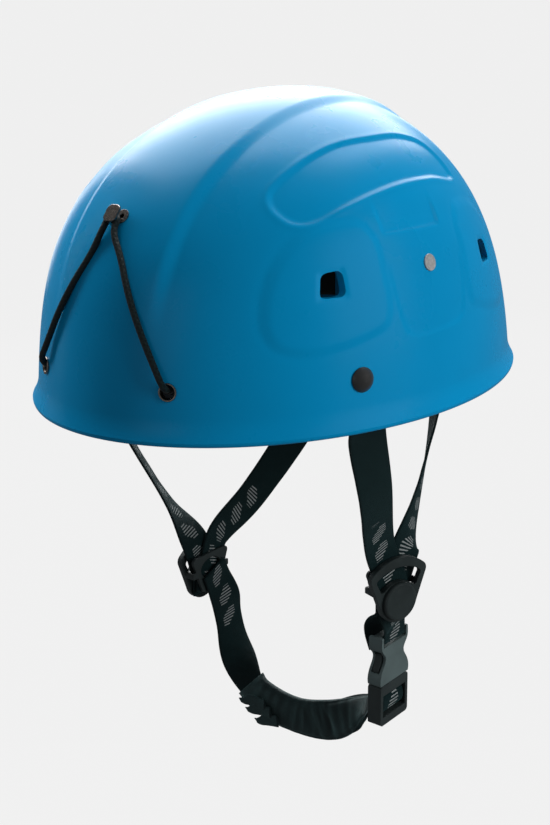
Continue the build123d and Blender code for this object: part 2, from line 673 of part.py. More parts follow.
def pinion_outline():
    """Involute pinion, one tooth pointing straight up."""
    pitch_radius = GEAR_MODULE * PINION_TEETH / 2
    base = pitch_radius * math.cos(PRESSURE_ANGLE)
    root, tip = pitch_radius - 1.1 * GEAR_MODULE, pitch_radius + 0.95 * GEAR_MODULE
    flat = math.tan(PRESSURE_ANGLE) - PRESSURE_ANGLE
    half = math.pi / (2 * PINION_TEETH) - BACKLASH / (4 * pitch_radius)
    flank = []
    for i in range(6):
        radius = base + 0.01 + (tip - base - 0.01) * i / 5
        roll = math.sqrt((radius / base) ** 2 - 1)
        flank.append((radius, half + flat - (roll - math.atan(roll))))
    points = []
    for tooth in range(PINION_TEETH):
        middle = math.pi / 2 - 2 * math.pi * tooth / PINION_TEETH
        edge = [(root, -flank[0][1])] + [(r, -a) for r, a in flank]
        edge += [(r, a) for r, a in reversed(flank)] + [(root, flank[0][1])]
        points += [(r * math.cos(middle - a), r * math.sin(middle - a)) for r, a in edge]
    return make_face(Polyline(*points, close=True))


def along_y(face, y_low, y_high):
    """Extrudes an XZ drawing, centred on the knob's axis, between two y planes."""
    solid = extrude(Plane.XZ * face, -(y_high - y_low))
    return Pos(0, y_low, KNOB_Z) * solid


SHAFT_R, SCREW_R = 3.0, 1.5


def nape_pinion():
    return along_y(pinion_outline() - Circle(SHAFT_R + 0.02), NAPE_Y - 1.3, NAPE_Y + 1.3)


def nape_knob():
    """Ribbed adjuster wheel with a hollow shaft that carries the pinion."""
    wheel = Circle(15.5)
    for i in range(18):
        turn = 2 * math.pi * i / 18
        wheel -= Pos(16.2 * math.cos(turn), 16.2 * math.sin(turn)) * Circle(1.5)
    body = along_y(wheel, NAPE_Y + 5.2, NAPE_Y + 14)
    body = fillet(body.faces().sort_by(Axis.Y)[-1].edges(), 0.7)
    shaft = along_y(Circle(SHAFT_R), NAPE_Y - 1.3, NAPE_Y + 6)
    bore = along_y(Circle(SCREW_R + 0.02), NAPE_Y - 2, NAPE_Y + 7.5)
    return body + shaft - bore


def knob_screw():
    head = along_y(Circle(3.6), NAPE_Y - 3.4, NAPE_Y - 1.4)
    head -= along_y(Rectangle(0.8, 5), NAPE_Y - 3.6, NAPE_Y - 2.6)
    return head + along_y(Circle(SCREW_R), NAPE_Y - 1.6, NAPE_Y + 7)


def housing_face(shrink=0.0):
    half_width, half_height = HOUSING_HALF_WIDTH - shrink, HOUSING_HALF_HEIGHT - shrink
    return fillet(Rectangle(2 * half_width, 2 * half_height).vertices(), 5.0)


def screw_places():
    return [Pos(side * COVER_SCREW_X, 0) for side in (-1, 1)]


def nape_back_cover():
    """Rear cover: knob bearing, top and bottom rails, and two screw bosses."""
    plate = along_y(housing_face(), NAPE_Y + 1.9, NAPE_Y + 4.4)
    rails = housing_face() & (Rectangle(100, 60) - Rectangle(100, 2 * CAVITY_HALF_HEIGHT))
    body = plate + along_y(rails, NAPE_Y - 2.0, NAPE_Y + 2.0)
    for place in screw_places():
        body += along_y(place * Circle(3.0), NAPE_Y - 2.0, NAPE_Y + 2.0)
        body -= along_y(place * Circle(1.25), NAPE_Y - 3, NAPE_Y + 3.2)
    return body - along_y(Circle(SHAFT_R + 0.06), NAPE_Y, NAPE_Y + 6)


def nape_front_cover():
    """Cover on the head's side, with a window for the knob's screw."""
    body = along_y(housing_face(), NAPE_Y - 3.9, NAPE_Y - 2.05)
    body -= along_y(Circle(4.2), NAPE_Y - 5, NAPE_Y)
    for place in screw_places():
        body -= along_y(place * Circle(1.35), NAPE_Y - 5, NAPE_Y)
    return body


def cover_screws():
    screws = []
    for place in screw_places():
        head = along_y(place * Circle(2.6), NAPE_Y - 5.1, NAPE_Y - 3.92)
        screws.append(head + along_y(place * Circle(1.2), NAPE_Y - 4, NAPE_Y + 3.0))
    return Compound(children=screws)


def nape_pad():
    return along_y(housing_face(1.0) - Circle(6), NAPE_Y - 10.2, NAPE_Y - 5.6)


def front_hanger():
    """Plastic strip: flat on the front strap at the rivet, then inwards to the headband."""
    stations = [
        (anchor("front", 1, HANGER_DEPTH, down=-8), facing("front", 1)),
        (anchor("front", 1, HANGER_DEPTH, down=8), facing("front", 1)),
        ((81.5, -59.5, 10.5), (0.55, -0.2, 0.8)),
        ((72.0, -58.0, 8.5), (0.2, -0.05, 1)),
        ((66.8, -57.5, 6.5), (0.7, -0.4, 0.6)),
        ((65.6, -57.4, 1.0), (0.87, -0.5, 0)),
    ]
    return pierced(ribbon(stations, HANGER_WIDTH, HANGER_T), "front", 1)


def rear_hanger():
    """Plastic strip: from the adjuster back to the rear strap, flat on it at the rivet."""
    stations = [
        ((23.0, 97.7, -2.0), (0, 1, 0)),
        ((23.2, 100.0, 6.0), (0, 0.5, 0.85)),
        ((23.6, 110.0, 7.6), (0, 0, 1)),
        ((24.0, 121.5, 8.0), (0.1, 0.5, 0.85)),
        (anchor("rear", 1, HANGER_DEPTH, down=8), facing("rear", 1)),
        (anchor("rear", 1, HANGER_DEPTH, down=-8), facing("rear", 1)),
    ]
    return pierced(ribbon(stations, HANGER_WIDTH, HANGER_T), "rear", 1)


def cradle_strap(side, height):
    """Webbing arch from a front hanger over the head to the opposite rear hanger."""
    front, rear = Vector(side * 60.0, -62.0, 0), Vector(-side * 34.0, 80.0, 0)
    middle, reach = (front + rear) * 0.5, (rear - front) * 0.5
    low, steps = 22.0, 12
    stations = []
    for i in range(steps + 1):
        turn = math.pi * (i / steps - 0.5)
        place = middle + reach * math.sin(turn) + Z * (low + (height - low) * math.cos(turn))
        out = reach * (math.sin(turn) / reach.length) + Z * math.cos(turn)
        stations.append((tuple(place), tuple(out)))
    return ribbon(stations, CRADLE_WIDTH)


# ======================= output =======================

def pair(shape):
    return Compound(children=[shape, mirrored(shape)])


def parts():
    return {
        "outer_shell": outer_shell(),
        "crown_liner": crown_liner(),
        "front_rivets": pair(rivet("front")),
        "rear_rivets": pair(rivet("rear")),
        "front_rivet_washers": pair(washer("front")),
        "rear_rivet_washers": pair(washer("rear")),
        "lamp_eyelets": pair(lamp_eyelet()),
        "lamp_hook": lamp_hook(),
        "lamp_hook_rivet": hook_rivet(),
        "lamp_elastic": lamp_elastic(),
        "elastic_knots": pair(elastic_knot()),
        "strap_front_left": strap_front_left(),
        "strap_rear_left": strap_rear_left(),
        "strap_front_right": strap_front_right(),
        "strap_rear_right": strap_rear_right(),
        "divider_left": divider(LEFT_DIVIDER),
        "divider_right": divider(RIGHT_DIVIDER),
        "divider_disc_left": divider_disc(LEFT_DIVIDER),
        "divider_disc_right": divider_disc(RIGHT_DIVIDER),
        "buckle_female": buckle_female(),
        "buckle_male": buckle_male(),
        "buckle_prong_front": prong(-1),
        "buckle_prong_rear": prong(1),
        "buckle_wrap": buckle_wrap(),
        "chin_strap": chin_strap(),
        "chin_sleeve": chin_sleeve(),
        "chin_strap_tail": chin_tail(),
        "headband": headband(),
        "brow_pad": brow_pad(),
        "headband_side_left": headband_side(),
        "headband_side_right": mirrored(headband_side()),
        "nape_arm_left": nape_arm(True),
        "nape_arm_right": nape_arm(False),
        "nape_pinion": nape_pinion(),
        "nape_knob": nape_knob(),
        "knob_screw": knob_screw(),
        "nape_back_cover": nape_back_cover(),
        "nape_front_cover": nape_front_cover(),
        "cover_screws": cover_screws(),
        "nape_pad": nape_pad(),
        "front_hangers": pair(front_hanger()),
        "rear_hangers": pair(rear_hanger()),
        "cradle_strap_lower": cradle_strap(1, 103.0),
        "cradle_strap_upper": cradle_strap(-1, 108.5),
    }


os.makedirs("parts", exist_ok=True)
for name, shape in parts().items():
    shape.label = name
    export_step(shape, f"parts/{name}.step")
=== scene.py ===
import math
import random

import bmesh
import bpy
import numpy as np
from mathutils import Matrix, Vector


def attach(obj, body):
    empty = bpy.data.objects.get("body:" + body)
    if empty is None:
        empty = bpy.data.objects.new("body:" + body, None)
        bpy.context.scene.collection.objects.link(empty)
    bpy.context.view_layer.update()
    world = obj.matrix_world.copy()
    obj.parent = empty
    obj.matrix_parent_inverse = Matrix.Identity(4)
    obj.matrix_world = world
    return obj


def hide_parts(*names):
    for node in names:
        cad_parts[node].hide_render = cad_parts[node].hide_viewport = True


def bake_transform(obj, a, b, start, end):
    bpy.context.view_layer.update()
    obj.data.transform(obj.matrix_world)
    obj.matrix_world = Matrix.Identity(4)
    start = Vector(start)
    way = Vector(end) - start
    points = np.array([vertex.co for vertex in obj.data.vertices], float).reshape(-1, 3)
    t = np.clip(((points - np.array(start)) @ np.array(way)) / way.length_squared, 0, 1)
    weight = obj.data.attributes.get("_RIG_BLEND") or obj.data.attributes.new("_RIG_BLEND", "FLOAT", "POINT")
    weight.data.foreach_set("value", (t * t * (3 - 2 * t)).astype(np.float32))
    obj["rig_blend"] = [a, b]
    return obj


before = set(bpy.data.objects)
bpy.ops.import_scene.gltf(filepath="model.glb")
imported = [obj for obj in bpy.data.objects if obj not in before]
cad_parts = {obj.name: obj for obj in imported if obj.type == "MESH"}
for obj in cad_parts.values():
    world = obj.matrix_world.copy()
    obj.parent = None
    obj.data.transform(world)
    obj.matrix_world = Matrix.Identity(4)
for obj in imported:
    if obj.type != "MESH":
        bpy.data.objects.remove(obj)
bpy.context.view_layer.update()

MM = 0.001
SEED = 11

# ---- dimensions repeated from the CAD, in millimetres ----
HALF_LENGTH, HALF_WIDTH, DOME_HEIGHT = 141.5, 108.0, 143.0
WALL, RIM_FLARE, FLARE_HEIGHT, CROWN_SHIFT = 2.8, 4.0, 12.0, 9.0
FRONT_SHAPE, REAR_SHAPE, SIDE_SHAPE = (3.3, 0.07), (1.95, 0.05), (3.7, 0.10)
VENT_OUTLINE = [(-78.0, 61.5), (-66.0, 61.5), (-65.5, 73.0), (-75.0, 72.0)]
VENT_MIRROR_Y = -15.0
SEAL_PLACE, SEAL_R = (-15.0, 70.0), 4.0
FRONT_RIVET, REAR_RIVET = (-63.0, 24.0), (24.0, 20.0)
RIVET_SHANK_R = 2.4
EYELET_X, EYELET_Z, EYELET_R = 38.5, 24.0, 3.0
HOOK_Z, HOOK_RIVET_R = 94.0, 2.2
HOOK_PLATE_T, HOOK_GAP, HOOK_CENTRE_X = 0.9, 4.6, -2.3
WEB_WIDTH, WEB_T = 20.0, 1.3
STRAP_DEPTH = WALL + 1.9
ELASTIC_R = 1.5
SLEEVE_WIDTH, SLEEVE_T = 24.0, 6.0
BAND_T, BAND_LOW, BAND_HIGH = 1.6, -4.0, 18.0
BAND_HALF_WIDTH, BAND_FRONT = 78.0, 98.0
FRONT_LAYER, REAR_LAYER = -1.05, -3.3
SIDES = ((-1, "right"), (1, "left"))


# ---- camera, floor and lights ----

CAMERA_AZIMUTH, CAMERA_ELEVATION = math.radians(38.759), math.radians(16.955)
CAMERA_ROLL = math.radians(-0.672)
CAMERA_DISTANCE = 731.606
CAMERA_LENS = 60.04
AIM_ACROSS, AIM_HEIGHT = -4.734, -23.884


def build_camera():
    turn, tilt = CAMERA_AZIMUTH, CAMERA_ELEVATION
    back = Vector((math.sin(turn) * math.cos(tilt), -math.cos(turn) * math.cos(tilt), math.sin(tilt)))
    right = Vector((math.cos(turn), math.sin(turn), 0))
    up = back.cross(right)
    level_right = right * math.cos(CAMERA_ROLL) + up * math.sin(CAMERA_ROLL)
    level_up = up * math.cos(CAMERA_ROLL) - right * math.sin(CAMERA_ROLL)
    aim = right * AIM_ACROSS + Vector((0, 0, AIM_HEIGHT))
    place = (aim + back * CAMERA_DISTANCE) * MM
    data = bpy.data.cameras.new("camera")
    data.lens, data.sensor_width, data.sensor_fit = CAMERA_LENS, 36.0, "AUTO"
    data.clip_start, data.clip_end = 0.01, 50.0
    camera = bpy.data.objects.new("camera", data)
    bpy.context.scene.collection.objects.link(camera)
    turned = Matrix((level_right, level_up, back)).transposed().to_4x4()
    camera.matrix_world = Matrix.Translation(place) @ turned
    bpy.context.scene.camera = camera


FLOOR_Z, FLOOR_REACH, SWEEP_RADIUS, BACKDROP_TOP = -0.40, 3.2, 2.2, 5.0
PAPER_GLOW, WORLD_GLOW = 0.863, 0.13
LIGHTS = [
    # name, place, height of its aim, size, power, seen by gloss, seen by matt surfaces
    ("rear softbox", (-0.52, 0.65, 1.00), 0.06, (1.6, 1.4), 42.0, True, False),
    ("rear softbox fill", (-0.52, 0.65, 1.00), 0.06, (1.6, 1.4), 36.0, False, True),
    ("back panel", (-1.15, 1.15, 0.42), 0.05, (1.3, 1.3), 12.0, True, True),
    ("left strip", (-1.5, -0.35, 0.45), 0.05, (0.35, 1.5), 15.0, False, True),
    ("front fill", (0.2, -2.0, 0.5), 0.0, (1.0, 1.2), 1.6, True, True),
    ("right softbox", (1.75, 0.45, 0.50), -0.02, (1.1, 1.5), 24.0, False, True),
]


def area_light(name, place, aim_height, size, power, glossy, diffuse):
    data = bpy.data.lights.new(name, "AREA")
    data.shape, data.size, data.size_y = "RECTANGLE", size[0], size[1]
    data.energy = power
    light = bpy.data.objects.new(name, data)
    light.location = place
    aim = Vector((0, 0, aim_height)) - Vector(place)
    light.rotation_euler = aim.to_track_quat("-Z", "Y").to_euler()
    light.visible_camera, light.visible_glossy, light.visible_diffuse = False, glossy, diffuse
    bpy.context.scene.collection.objects.link(light)


def build_stage():
    """A pale floor that sweeps up into a backdrop, and soft lights."""
    steps, count = 12, 64
    profile = [(0.0, FLOOR_Z), (FLOOR_REACH, FLOOR_Z)]
    for i in range(1, steps + 1):
        turn = math.pi / 2 * i / steps
        rise = SWEEP_RADIUS * (1 - math.cos(turn))
        profile.append((FLOOR_REACH + SWEEP_RADIUS * math.sin(turn), FLOOR_Z + rise))
    profile.append((FLOOR_REACH + SWEEP_RADIUS, BACKDROP_TOP))
    turns = np.linspace(0, 2 * math.pi, count, False)
    verts = [(r * math.cos(a), r * math.sin(a), z) for r, z in profile for a in turns]
    backdrop = link_mesh("backdrop", verts, ring_faces(len(profile), count, False))
    paper = Shade("paper", Base_Color=grey(0.01), Roughness=0.95, Specular_IOR_Level=0.0,
                  Emission_Color=grey(1.0), Emission_Strength=PAPER_GLOW)
    backdrop.data.materials.append(paper.material)
    backdrop.visible_diffuse = backdrop.visible_glossy = False
    for light in LIGHTS:
        area_light(*light)
    world = bpy.data.worlds.new("studio")
    world.use_nodes = True
    sky = world.node_tree.nodes["Background"].inputs
    sky["Color"].default_value, sky["Strength"].default_value = (0.9, 0.95, 1.0, 1), WORLD_GLOW
    bpy.context.scene.world = world
    bpy.context.scene.view_settings.view_transform = "Standard"


# ---- material nodes ----

class Shade:
    """One material's node tree, with short calls for its nodes."""

    def __init__(self, name, **constants):
        self.material = bpy.data.materials.new(name)
        self.material.use_nodes = True
        self.tree = self.material.node_tree
        self.shader = self.tree.nodes["Principled BSDF"]
        for key, value in constants.items():
            self.shader.inputs[key.replace("_", " ")].default_value = value

    def node(self, kind, sockets=(), **settings):
        made = self.tree.nodes.new("ShaderNode" + kind)
        for key, value in settings.items():
            setattr(made, key, value)
        for key, value in dict(sockets).items():
            if isinstance(value, bpy.types.NodeSocket):
                self.tree.links.new(value, made.inputs[key])
            else:
                made.inputs[key].default_value = value
        return made

    def place(self):
        return self.node("TexCoord").outputs["Object"]

    def strip(self):
        """Metres along and across a woven band."""
        marked = self.node("Attribute", attribute_name="strip").outputs["Vector"]
        return self.node("SeparateXYZ", {"Vector": marked}).outputs

    def noise(self, scale, detail=3.0, rough=0.55, vector=None, distortion=0.0):
        settings = {"Scale": scale, "Detail": detail, "Roughness": rough, "Distortion": distortion}
        settings["Vector"] = vector or self.place()
        return self.node("TexNoise", settings).outputs["Fac"]

    def cells(self, scale, feature="F1", randomness=1.0):
        settings = {"Vector": self.place(), "Scale": scale, "Randomness": randomness}
        return self.node("TexVoronoi", settings, feature=feature).outputs["Distance"]

    def math(self, operation, a, b=0.0):
        return self.node("Math", {0: a, 1: b}, operation=operation).outputs[0]

    def times(self, a, b):
        return self.math("MULTIPLY", a, b)

    def plus(self, a, b):
        return self.math("ADD", a, b)

    def wave(self, value, pitch):
        """Sine of a length that repeats every pitch."""
        return self.math("SINE", self.times(value, 2 * math.pi / pitch))

    def ramp(self, value, low, high, to_low=0.0, to_high=1.0, smooth=True):
        kind = "SMOOTHSTEP" if smooth else "LINEAR"
        sockets = {"Value": value, "From Min": low, "From Max": high, "To Min": to_low, "To Max": to_high}
        return self.node("MapRange", sockets, interpolation_type=kind).outputs["Result"]

    def mix(self, share, a, b):
        return self.node("Mix", {0: share, 6: a, 7: b}, data_type="RGBA").outputs[2]

    def bump(self, height, distance, strength=1.0, normal=None):
        sockets = {"Height": height, "Distance": distance, "Strength": strength}
        if normal is not None:
            sockets["Normal"] = normal
        return self.node("Bump", sockets).outputs["Normal"]

    def soften(self, radius):
        """Rounded look along a moulding's hard edges."""
        return self.node("Bevel", {"Radius": radius}, samples=4).outputs["Normal"]

    def use(self, **links):
        for key, value in links.items():
            self.tree.links.new(value, self.shader.inputs[key.replace("_", " ")])
        return self.material


DARK, TEAL = (0.80, 1.10, 1.10), (0.40, 1.30, 1.40)


def grey(level, tint=(1, 1, 1)):
    return tuple(level * t for t in tint) + (1,)


def moulded_plastic(name, colour, worn, roughness, grain, edge):
    """Spark-textured moulding with handling marks."""
    s = Shade(name, IOR=1.49)
    patches = s.noise(55, 4)
    fine = s.noise(grain, 2, 0.7)
    scuffs = s.ramp(s.noise(420, 5, 0.75, distortion=1.2), 0.60, 0.74)
    base = s.mix(s.ramp(patches, 0.3, 0.75), colour, worn)
    tint = s.mix(s.times(scuffs, 0.22), base, grey(0.16))
    rough = s.ramp(patches, 0.25, 0.8, roughness - 0.06, roughness + 0.08)
    rough = s.plus(rough, s.times(scuffs, 0.08))
    normal = s.bump(fine, 0.00006, 0.55, s.soften(edge))
    return s.use(Base_Color=tint, Roughness=rough, Normal=normal)


def shell_material():
    """Glossy moulded polypropylene with faint flow clouds, orange peel and fine scratches."""
    s = Shade("shell_blue", IOR=1.49, Specular_IOR_Level=0.13)
    clouds = s.noise(9, 4, 0.5)
    flow = s.ramp(clouds, 0.3, 0.72)
    colour = s.mix(flow, (0.0, 0.285, 0.590, 1), (0.0, 0.315, 0.650, 1))
    mapping = {"Vector": s.place(), "Scale": (900, 60, 220), "Rotation": (0.4, 0.7, 0.3)}
    stretched = s.node("Mapping", mapping)
    hair = s.ramp(s.noise(1.0, 2, 0.6, stretched.outputs[0]), 0.715, 0.75)
    colour = s.mix(s.times(hair, 0.10), colour, (0.06, 0.42, 0.76, 1))
    peel = s.noise(520, 2, 0.5)
    dust = s.ramp(s.noise(1900, 2, 0.6), 0.70, 0.78)
    rough = s.ramp(s.noise(30, 4), 0.3, 0.75, 0.26, 0.34)
    rough = s.plus(rough, s.times(hair, 0.10))
    rough = s.plus(rough, s.times(dust, 0.08))
    normal = s.bump(peel, 0.00004, 0.35)
    normal = s.bump(hair, 0.00002, 0.5, normal)
    return s.use(Base_Color=colour, Roughness=rough, Normal=normal)


def foam_material():
    """Pressed dark foam beads."""
    s = Shade("foam_liner", Roughness=0.85, Specular_IOR_Level=0.25)
    beads = s.cells(260, feature="SMOOTH_F1")
    joints = s.ramp(s.cells(260, feature="DISTANCE_TO_EDGE"), 0.0, 0.10)
    shade = s.mix(s.noise(40, 3), grey(0.045), grey(0.075))
    colour = s.mix(joints, grey(0.018), shade)
    normal = s.bump(joints, 0.0005, 0.7)
    normal = s.bump(beads, 0.0006, 0.35, normal)
    return s.use(Base_Color=colour, Normal=normal)


def metal_material(name, colour, dull, roughness):
    """Plated metal with fine brushing and tarnish in patches."""
    s = Shade(name, Metallic=1.0)
    tarnish = s.ramp(s.noise(300, 5, 0.65), 0.42, 0.70)
    brushed = s.node("Mapping", {"Vector": s.place(), "Scale": (3000, 3000, 260)})
    lines = s.noise(1.0, 2, 0.6, brushed.outputs[0])
    rough = s.ramp(lines, 0.3, 0.7, roughness - 0.05, roughness + 0.07)
    rough = s.plus(rough, s.times(tarnish, 0.18))
    normal = s.bump(lines, 0.00001, 0.5, s.soften(0.0002))
    return s.use(Base_Color=s.mix(tarnish, colour, dull), Roughness=rough, Normal=normal)


YARN_PITCH, PICK_PITCH, RIPSTOP_PITCH, BRAID_PITCH = 0.00088, 0.00062, 0.00052, 0.0026
DASH_PITCH, DASH_SHARE, GROUP_PITCH, GROUP_SHARE = 0.0017, 0.20, 0.0145, 0.78


def woven_dashes(s, along, across, fuzz):
    """Pale weft dashes, gathered in slanted lens-shaped groups."""
    phase = s.math("FRACT", s.math("DIVIDE", along, GROUP_PITCH))
    grouped = s.math("LESS_THAN", phase, GROUP_SHARE)
    centre = s.ramp(phase, 0.0, GROUP_SHARE, -0.0026, 0.0026, smooth=False)
    offset = s.math("ABSOLUTE", s.math("SUBTRACT", across, centre))
    fall = s.math("ABSOLUTE", s.math("SUBTRACT", phase, GROUP_SHARE / 2))
    half = s.ramp(fall, 0.0, GROUP_SHARE / 2, 0.0044, 0.0020)
    inside = s.times(grouped, s.math("LESS_THAN", offset, half))
    step = s.math("FRACT", s.math("DIVIDE", along, DASH_PITCH))
    line = s.math("LESS_THAN", s.math("ABSOLUTE", s.math("SUBTRACT", step, 0.5)), DASH_SHARE)
    marked = s.node("Attribute", attribute_name="dashes").outputs["Fac"]
    woven = s.times(s.times(line, inside), marked)
    return s.times(woven, s.ramp(fuzz, 0.32, 0.52, 0.55, 1.0))


def webbing_material(name, dark, light, dashes=True):
    """Woven polyester band: warp ribs, weft picks, selvedge cords, and pale dashes where marked."""
    s = Shade(name, Specular_IOR_Level=0.25, Sheen_Weight=0.12, Sheen_Tint=(0.3, 0.62, 0.65, 1))
    along, across, _ = s.strip()
    warp = s.wave(across, YARN_PITCH)
    stagger = s.times(s.math("SIGN", warp), math.pi / 2)
    weft = s.math("SINE", s.plus(s.times(along, 2 * math.pi / PICK_PITCH), stagger))
    weave = s.plus(s.math("ABSOLUTE", warp), s.times(weft, 0.45))
    fuzz = s.noise(2600, 3, 0.7)
    edge = s.ramp(s.math("ABSOLUTE", across), 0.0086, 0.0092)
    base = s.mix(s.ramp(weave, -0.2, 1.4), dark, light)
    base = s.mix(s.times(s.ramp(s.noise(160, 4), 0.35, 0.7), 0.5), base, light)
    base = s.mix(s.times(edge, 0.5), base, dark)
    height = s.plus(weave, s.times(fuzz, 0.7))
    if dashes:
        woven = woven_dashes(s, along, across, fuzz)
        base = s.mix(woven, base, grey(0.36, (0.93, 1.0, 1.0)))
        height = s.plus(height, s.times(woven, 1.5))
    normal = s.bump(height, 0.00016, 0.6)
    return s.use(Base_Color=base, Roughness=s.ramp(fuzz, 0.3, 0.7, 0.62, 0.82), Normal=normal)


def sleeve_material():
    """Smooth tightly woven nylon with a fine ripstop line."""
    s = Shade("sleeve_fabric", Sheen_Weight=0.35, Sheen_Roughness=0.45, Sheen_Tint=(0.4, 0.7, 0.7, 1))
    along, across, _ = s.strip()
    weave = s.times(s.wave(across, RIPSTOP_PITCH), s.wave(along, RIPSTOP_PITCH))
    cloud = s.noise(90, 4)
    base = s.mix(s.ramp(cloud, 0.3, 0.7), grey(0.0075, TEAL), grey(0.0125, TEAL))
    base = s.mix(s.ramp(weave, -0.6, 0.9, 0, 0.35), base, grey(0.022, TEAL))
    normal = s.bump(s.plus(weave, s.times(s.noise(2300, 3), 0.8)), 0.00010, 0.6)
    return s.use(Base_Color=base, Roughness=s.ramp(cloud, 0.3, 0.7, 0.66, 0.8), Normal=normal)


def pad_material():
    """Knitted comfort fabric with small round pores."""
    s = Shade("pad_fabric", Sheen_Weight=0.4, Sheen_Roughness=0.5)
    pores = s.cells(560, randomness=0.35)
    knit = s.noise(1900, 3, 0.7)
    hole = s.ramp(pores, 0.16, 0.30)
    base = s.mix(hole, grey(0.004), s.mix(s.noise(70, 3), grey(0.016), grey(0.028)))
    normal = s.bump(s.plus(hole, s.times(knit, 0.6)), 0.00035, 0.8)
    return s.use(Base_Color=base, Roughness=s.ramp(knit, 0.3, 0.7, 0.78, 0.92), Normal=normal)


def elastic_material():
    """Braided cover of the shock cord."""
    s = Shade("elastic", Sheen_Weight=0.08, Sheen_Roughness=0.4)
    along, around, _ = s.strip()
    turns, lean = s.times(along, 2 * math.pi / BRAID_PITCH), s.times(around, 4.0)
    one = s.math("SINE", s.plus(turns, lean))
    other = s.math("SINE", s.math("SUBTRACT", turns, lean))
    braid = s.math("MAXIMUM", one, other)
    fuzz = s.noise(2600, 3, 0.7)
    base = s.mix(s.ramp(braid, -0.2, 0.9), grey(0.004, TEAL), grey(0.009, TEAL))
    normal = s.bump(s.plus(braid, s.times(fuzz, 0.3)), 0.00014, 0.6)
    return s.use(Base_Color=base, Roughness=s.ramp(fuzz, 0.3, 0.7, 0.55, 0.75), Normal=normal)


def seal_material():
    """Satin foil of the plain round seal."""
    s = Shade("seal_foil", Metallic=0.35)
    rings = s.noise(700, 3)
    base = s.mix(s.ramp(rings, 0.3, 0.7), grey(0.42), grey(0.58))
    normal = s.bump(rings, 0.00003, 0.5, s.soften(0.00015))
    return s.use(Base_Color=base, Roughness=s.ramp(rings, 0.3, 0.7, 0.32, 0.45), Normal=normal)


MOULDINGS = {
    # colour, worn colour, roughness, scale of the grain, radius of the edges' softening
    "rivet_plastic": (grey(0.034), grey(0.050), 0.36, 1500, 0.0003),
    "hardware_plastic": (grey(0.100, DARK), grey(0.130, DARK), 0.42, 2400, 0.0006),
    "dark_plastic": (grey(0.022, DARK), grey(0.034, DARK), 0.40, 2400, 0.0006),
    "band_plastic": (grey(0.020), grey(0.034), 0.38, 1400, 0.0003),
    "knob_plastic": (grey(0.014), grey(0.026), 0.50, 1800, 0.0004),
}
MATERIALS = {name: moulded_plastic(name, *look) for name, look in MOULDINGS.items()} | {
    "shell_blue": shell_material(),
    "foam_liner": foam_material(),
    "nickel": metal_material("nickel", (0.34, 0.30, 0.27, 1), (0.14, 0.11, 0.09, 1), 0.22),
    "zinc_steel": metal_material("zinc_steel", (0.55, 0.56, 0.58, 1), (0.34, 0.33, 0.30, 1), 0.32),
    "elastic": elastic_material(),
    "webbing": webbing_material("webbing", grey(0.0055, TEAL), grey(0.0125, TEAL)),
    "cradle_webbing": webbing_material("cradle_webbing", grey(0.010), grey(0.022), False),
    "sleeve_fabric": sleeve_material(),
    "pad_fabric": pad_material(),
    "seal_foil": seal_material(),
}


# ---- mesh building ----

def link_mesh(name, verts, faces):
    mesh = bpy.data.meshes.new(name)
    mesh.from_pydata(verts, [], faces)
    mesh.polygons.foreach_set("use_smooth", [True] * len(mesh.polygons))
    made = bpy.data.objects.new(name, mesh)
    bpy.context.scene.collection.objects.link(made)
    return made


def make_object(name, verts, faces, material, strip=(), dashes=()):
    """Object from millimetre points; strip holds metres along and across a weave at each point."""
    made = link_mesh(name, [tuple(c * MM for c in v) for v in verts], faces)
    layers = made.data.attributes
    if len(strip):
        layers.new("strip", "FLOAT_VECTOR", "POINT").data.foreach_set("vector", np.ravel(strip))
    if len(dashes):
        layers.new("dashes", "FLOAT", "POINT").data.foreach_set("value", dashes)
    made.data.materials.append(MATERIALS[material])
    return made


def ring_faces(rows, count, cap=True):
    """Quads between rings of count points each, with a flat cap at both ends."""
    faces = []
    for i in range(rows - 1):
        for j in range(count):
            k = (j + 1) % count
            faces.append((i * count + j, i * count + k, (i + 1) * count + k, (i + 1) * count + j))
    if cap:
        faces.append(tuple(range(count - 1, -1, -1)))
        faces.append(tuple((rows - 1) * count + j for j in range(count)))
    return faces


def crossways(normal):
    """Two directions square to a normal and to each other."""
    across = normal.orthogonal().normalized()
    return across, normal.cross(across)


def lathe(profile, point, normal, count):
    """Rings of points round a normal, one for each (radius, height) of the profile."""
    across, other = crossways(normal)
    verts = []
    for radius, height in profile:
        for i in range(count):
            a = 2 * math.pi * i / count
            verts.append(point + (across * math.cos(a) + other * math.sin(a)) * radius + normal * height)
    return verts


def soft_outline(count, width_power, face_power):
    """Unit cross-section between an ellipse and a rectangle."""
    outline = []
    for i in range(count):
        x, y = math.cos(2 * math.pi * i / count), math.sin(2 * math.pi * i / count)
        outline.append((math.copysign(abs(x) ** width_power, x), math.copysign(abs(y) ** face_power, y)))
    return outline


def follow(line):
    """Directions along a line, and the distance run at each of its points."""
    along = np.gradient(line, axis=0)
    along /= np.linalg.norm(along, axis=1)[:, None]
    return along, np.concatenate([[0], np.cumsum(np.linalg.norm(np.diff(line, axis=0), axis=1))])


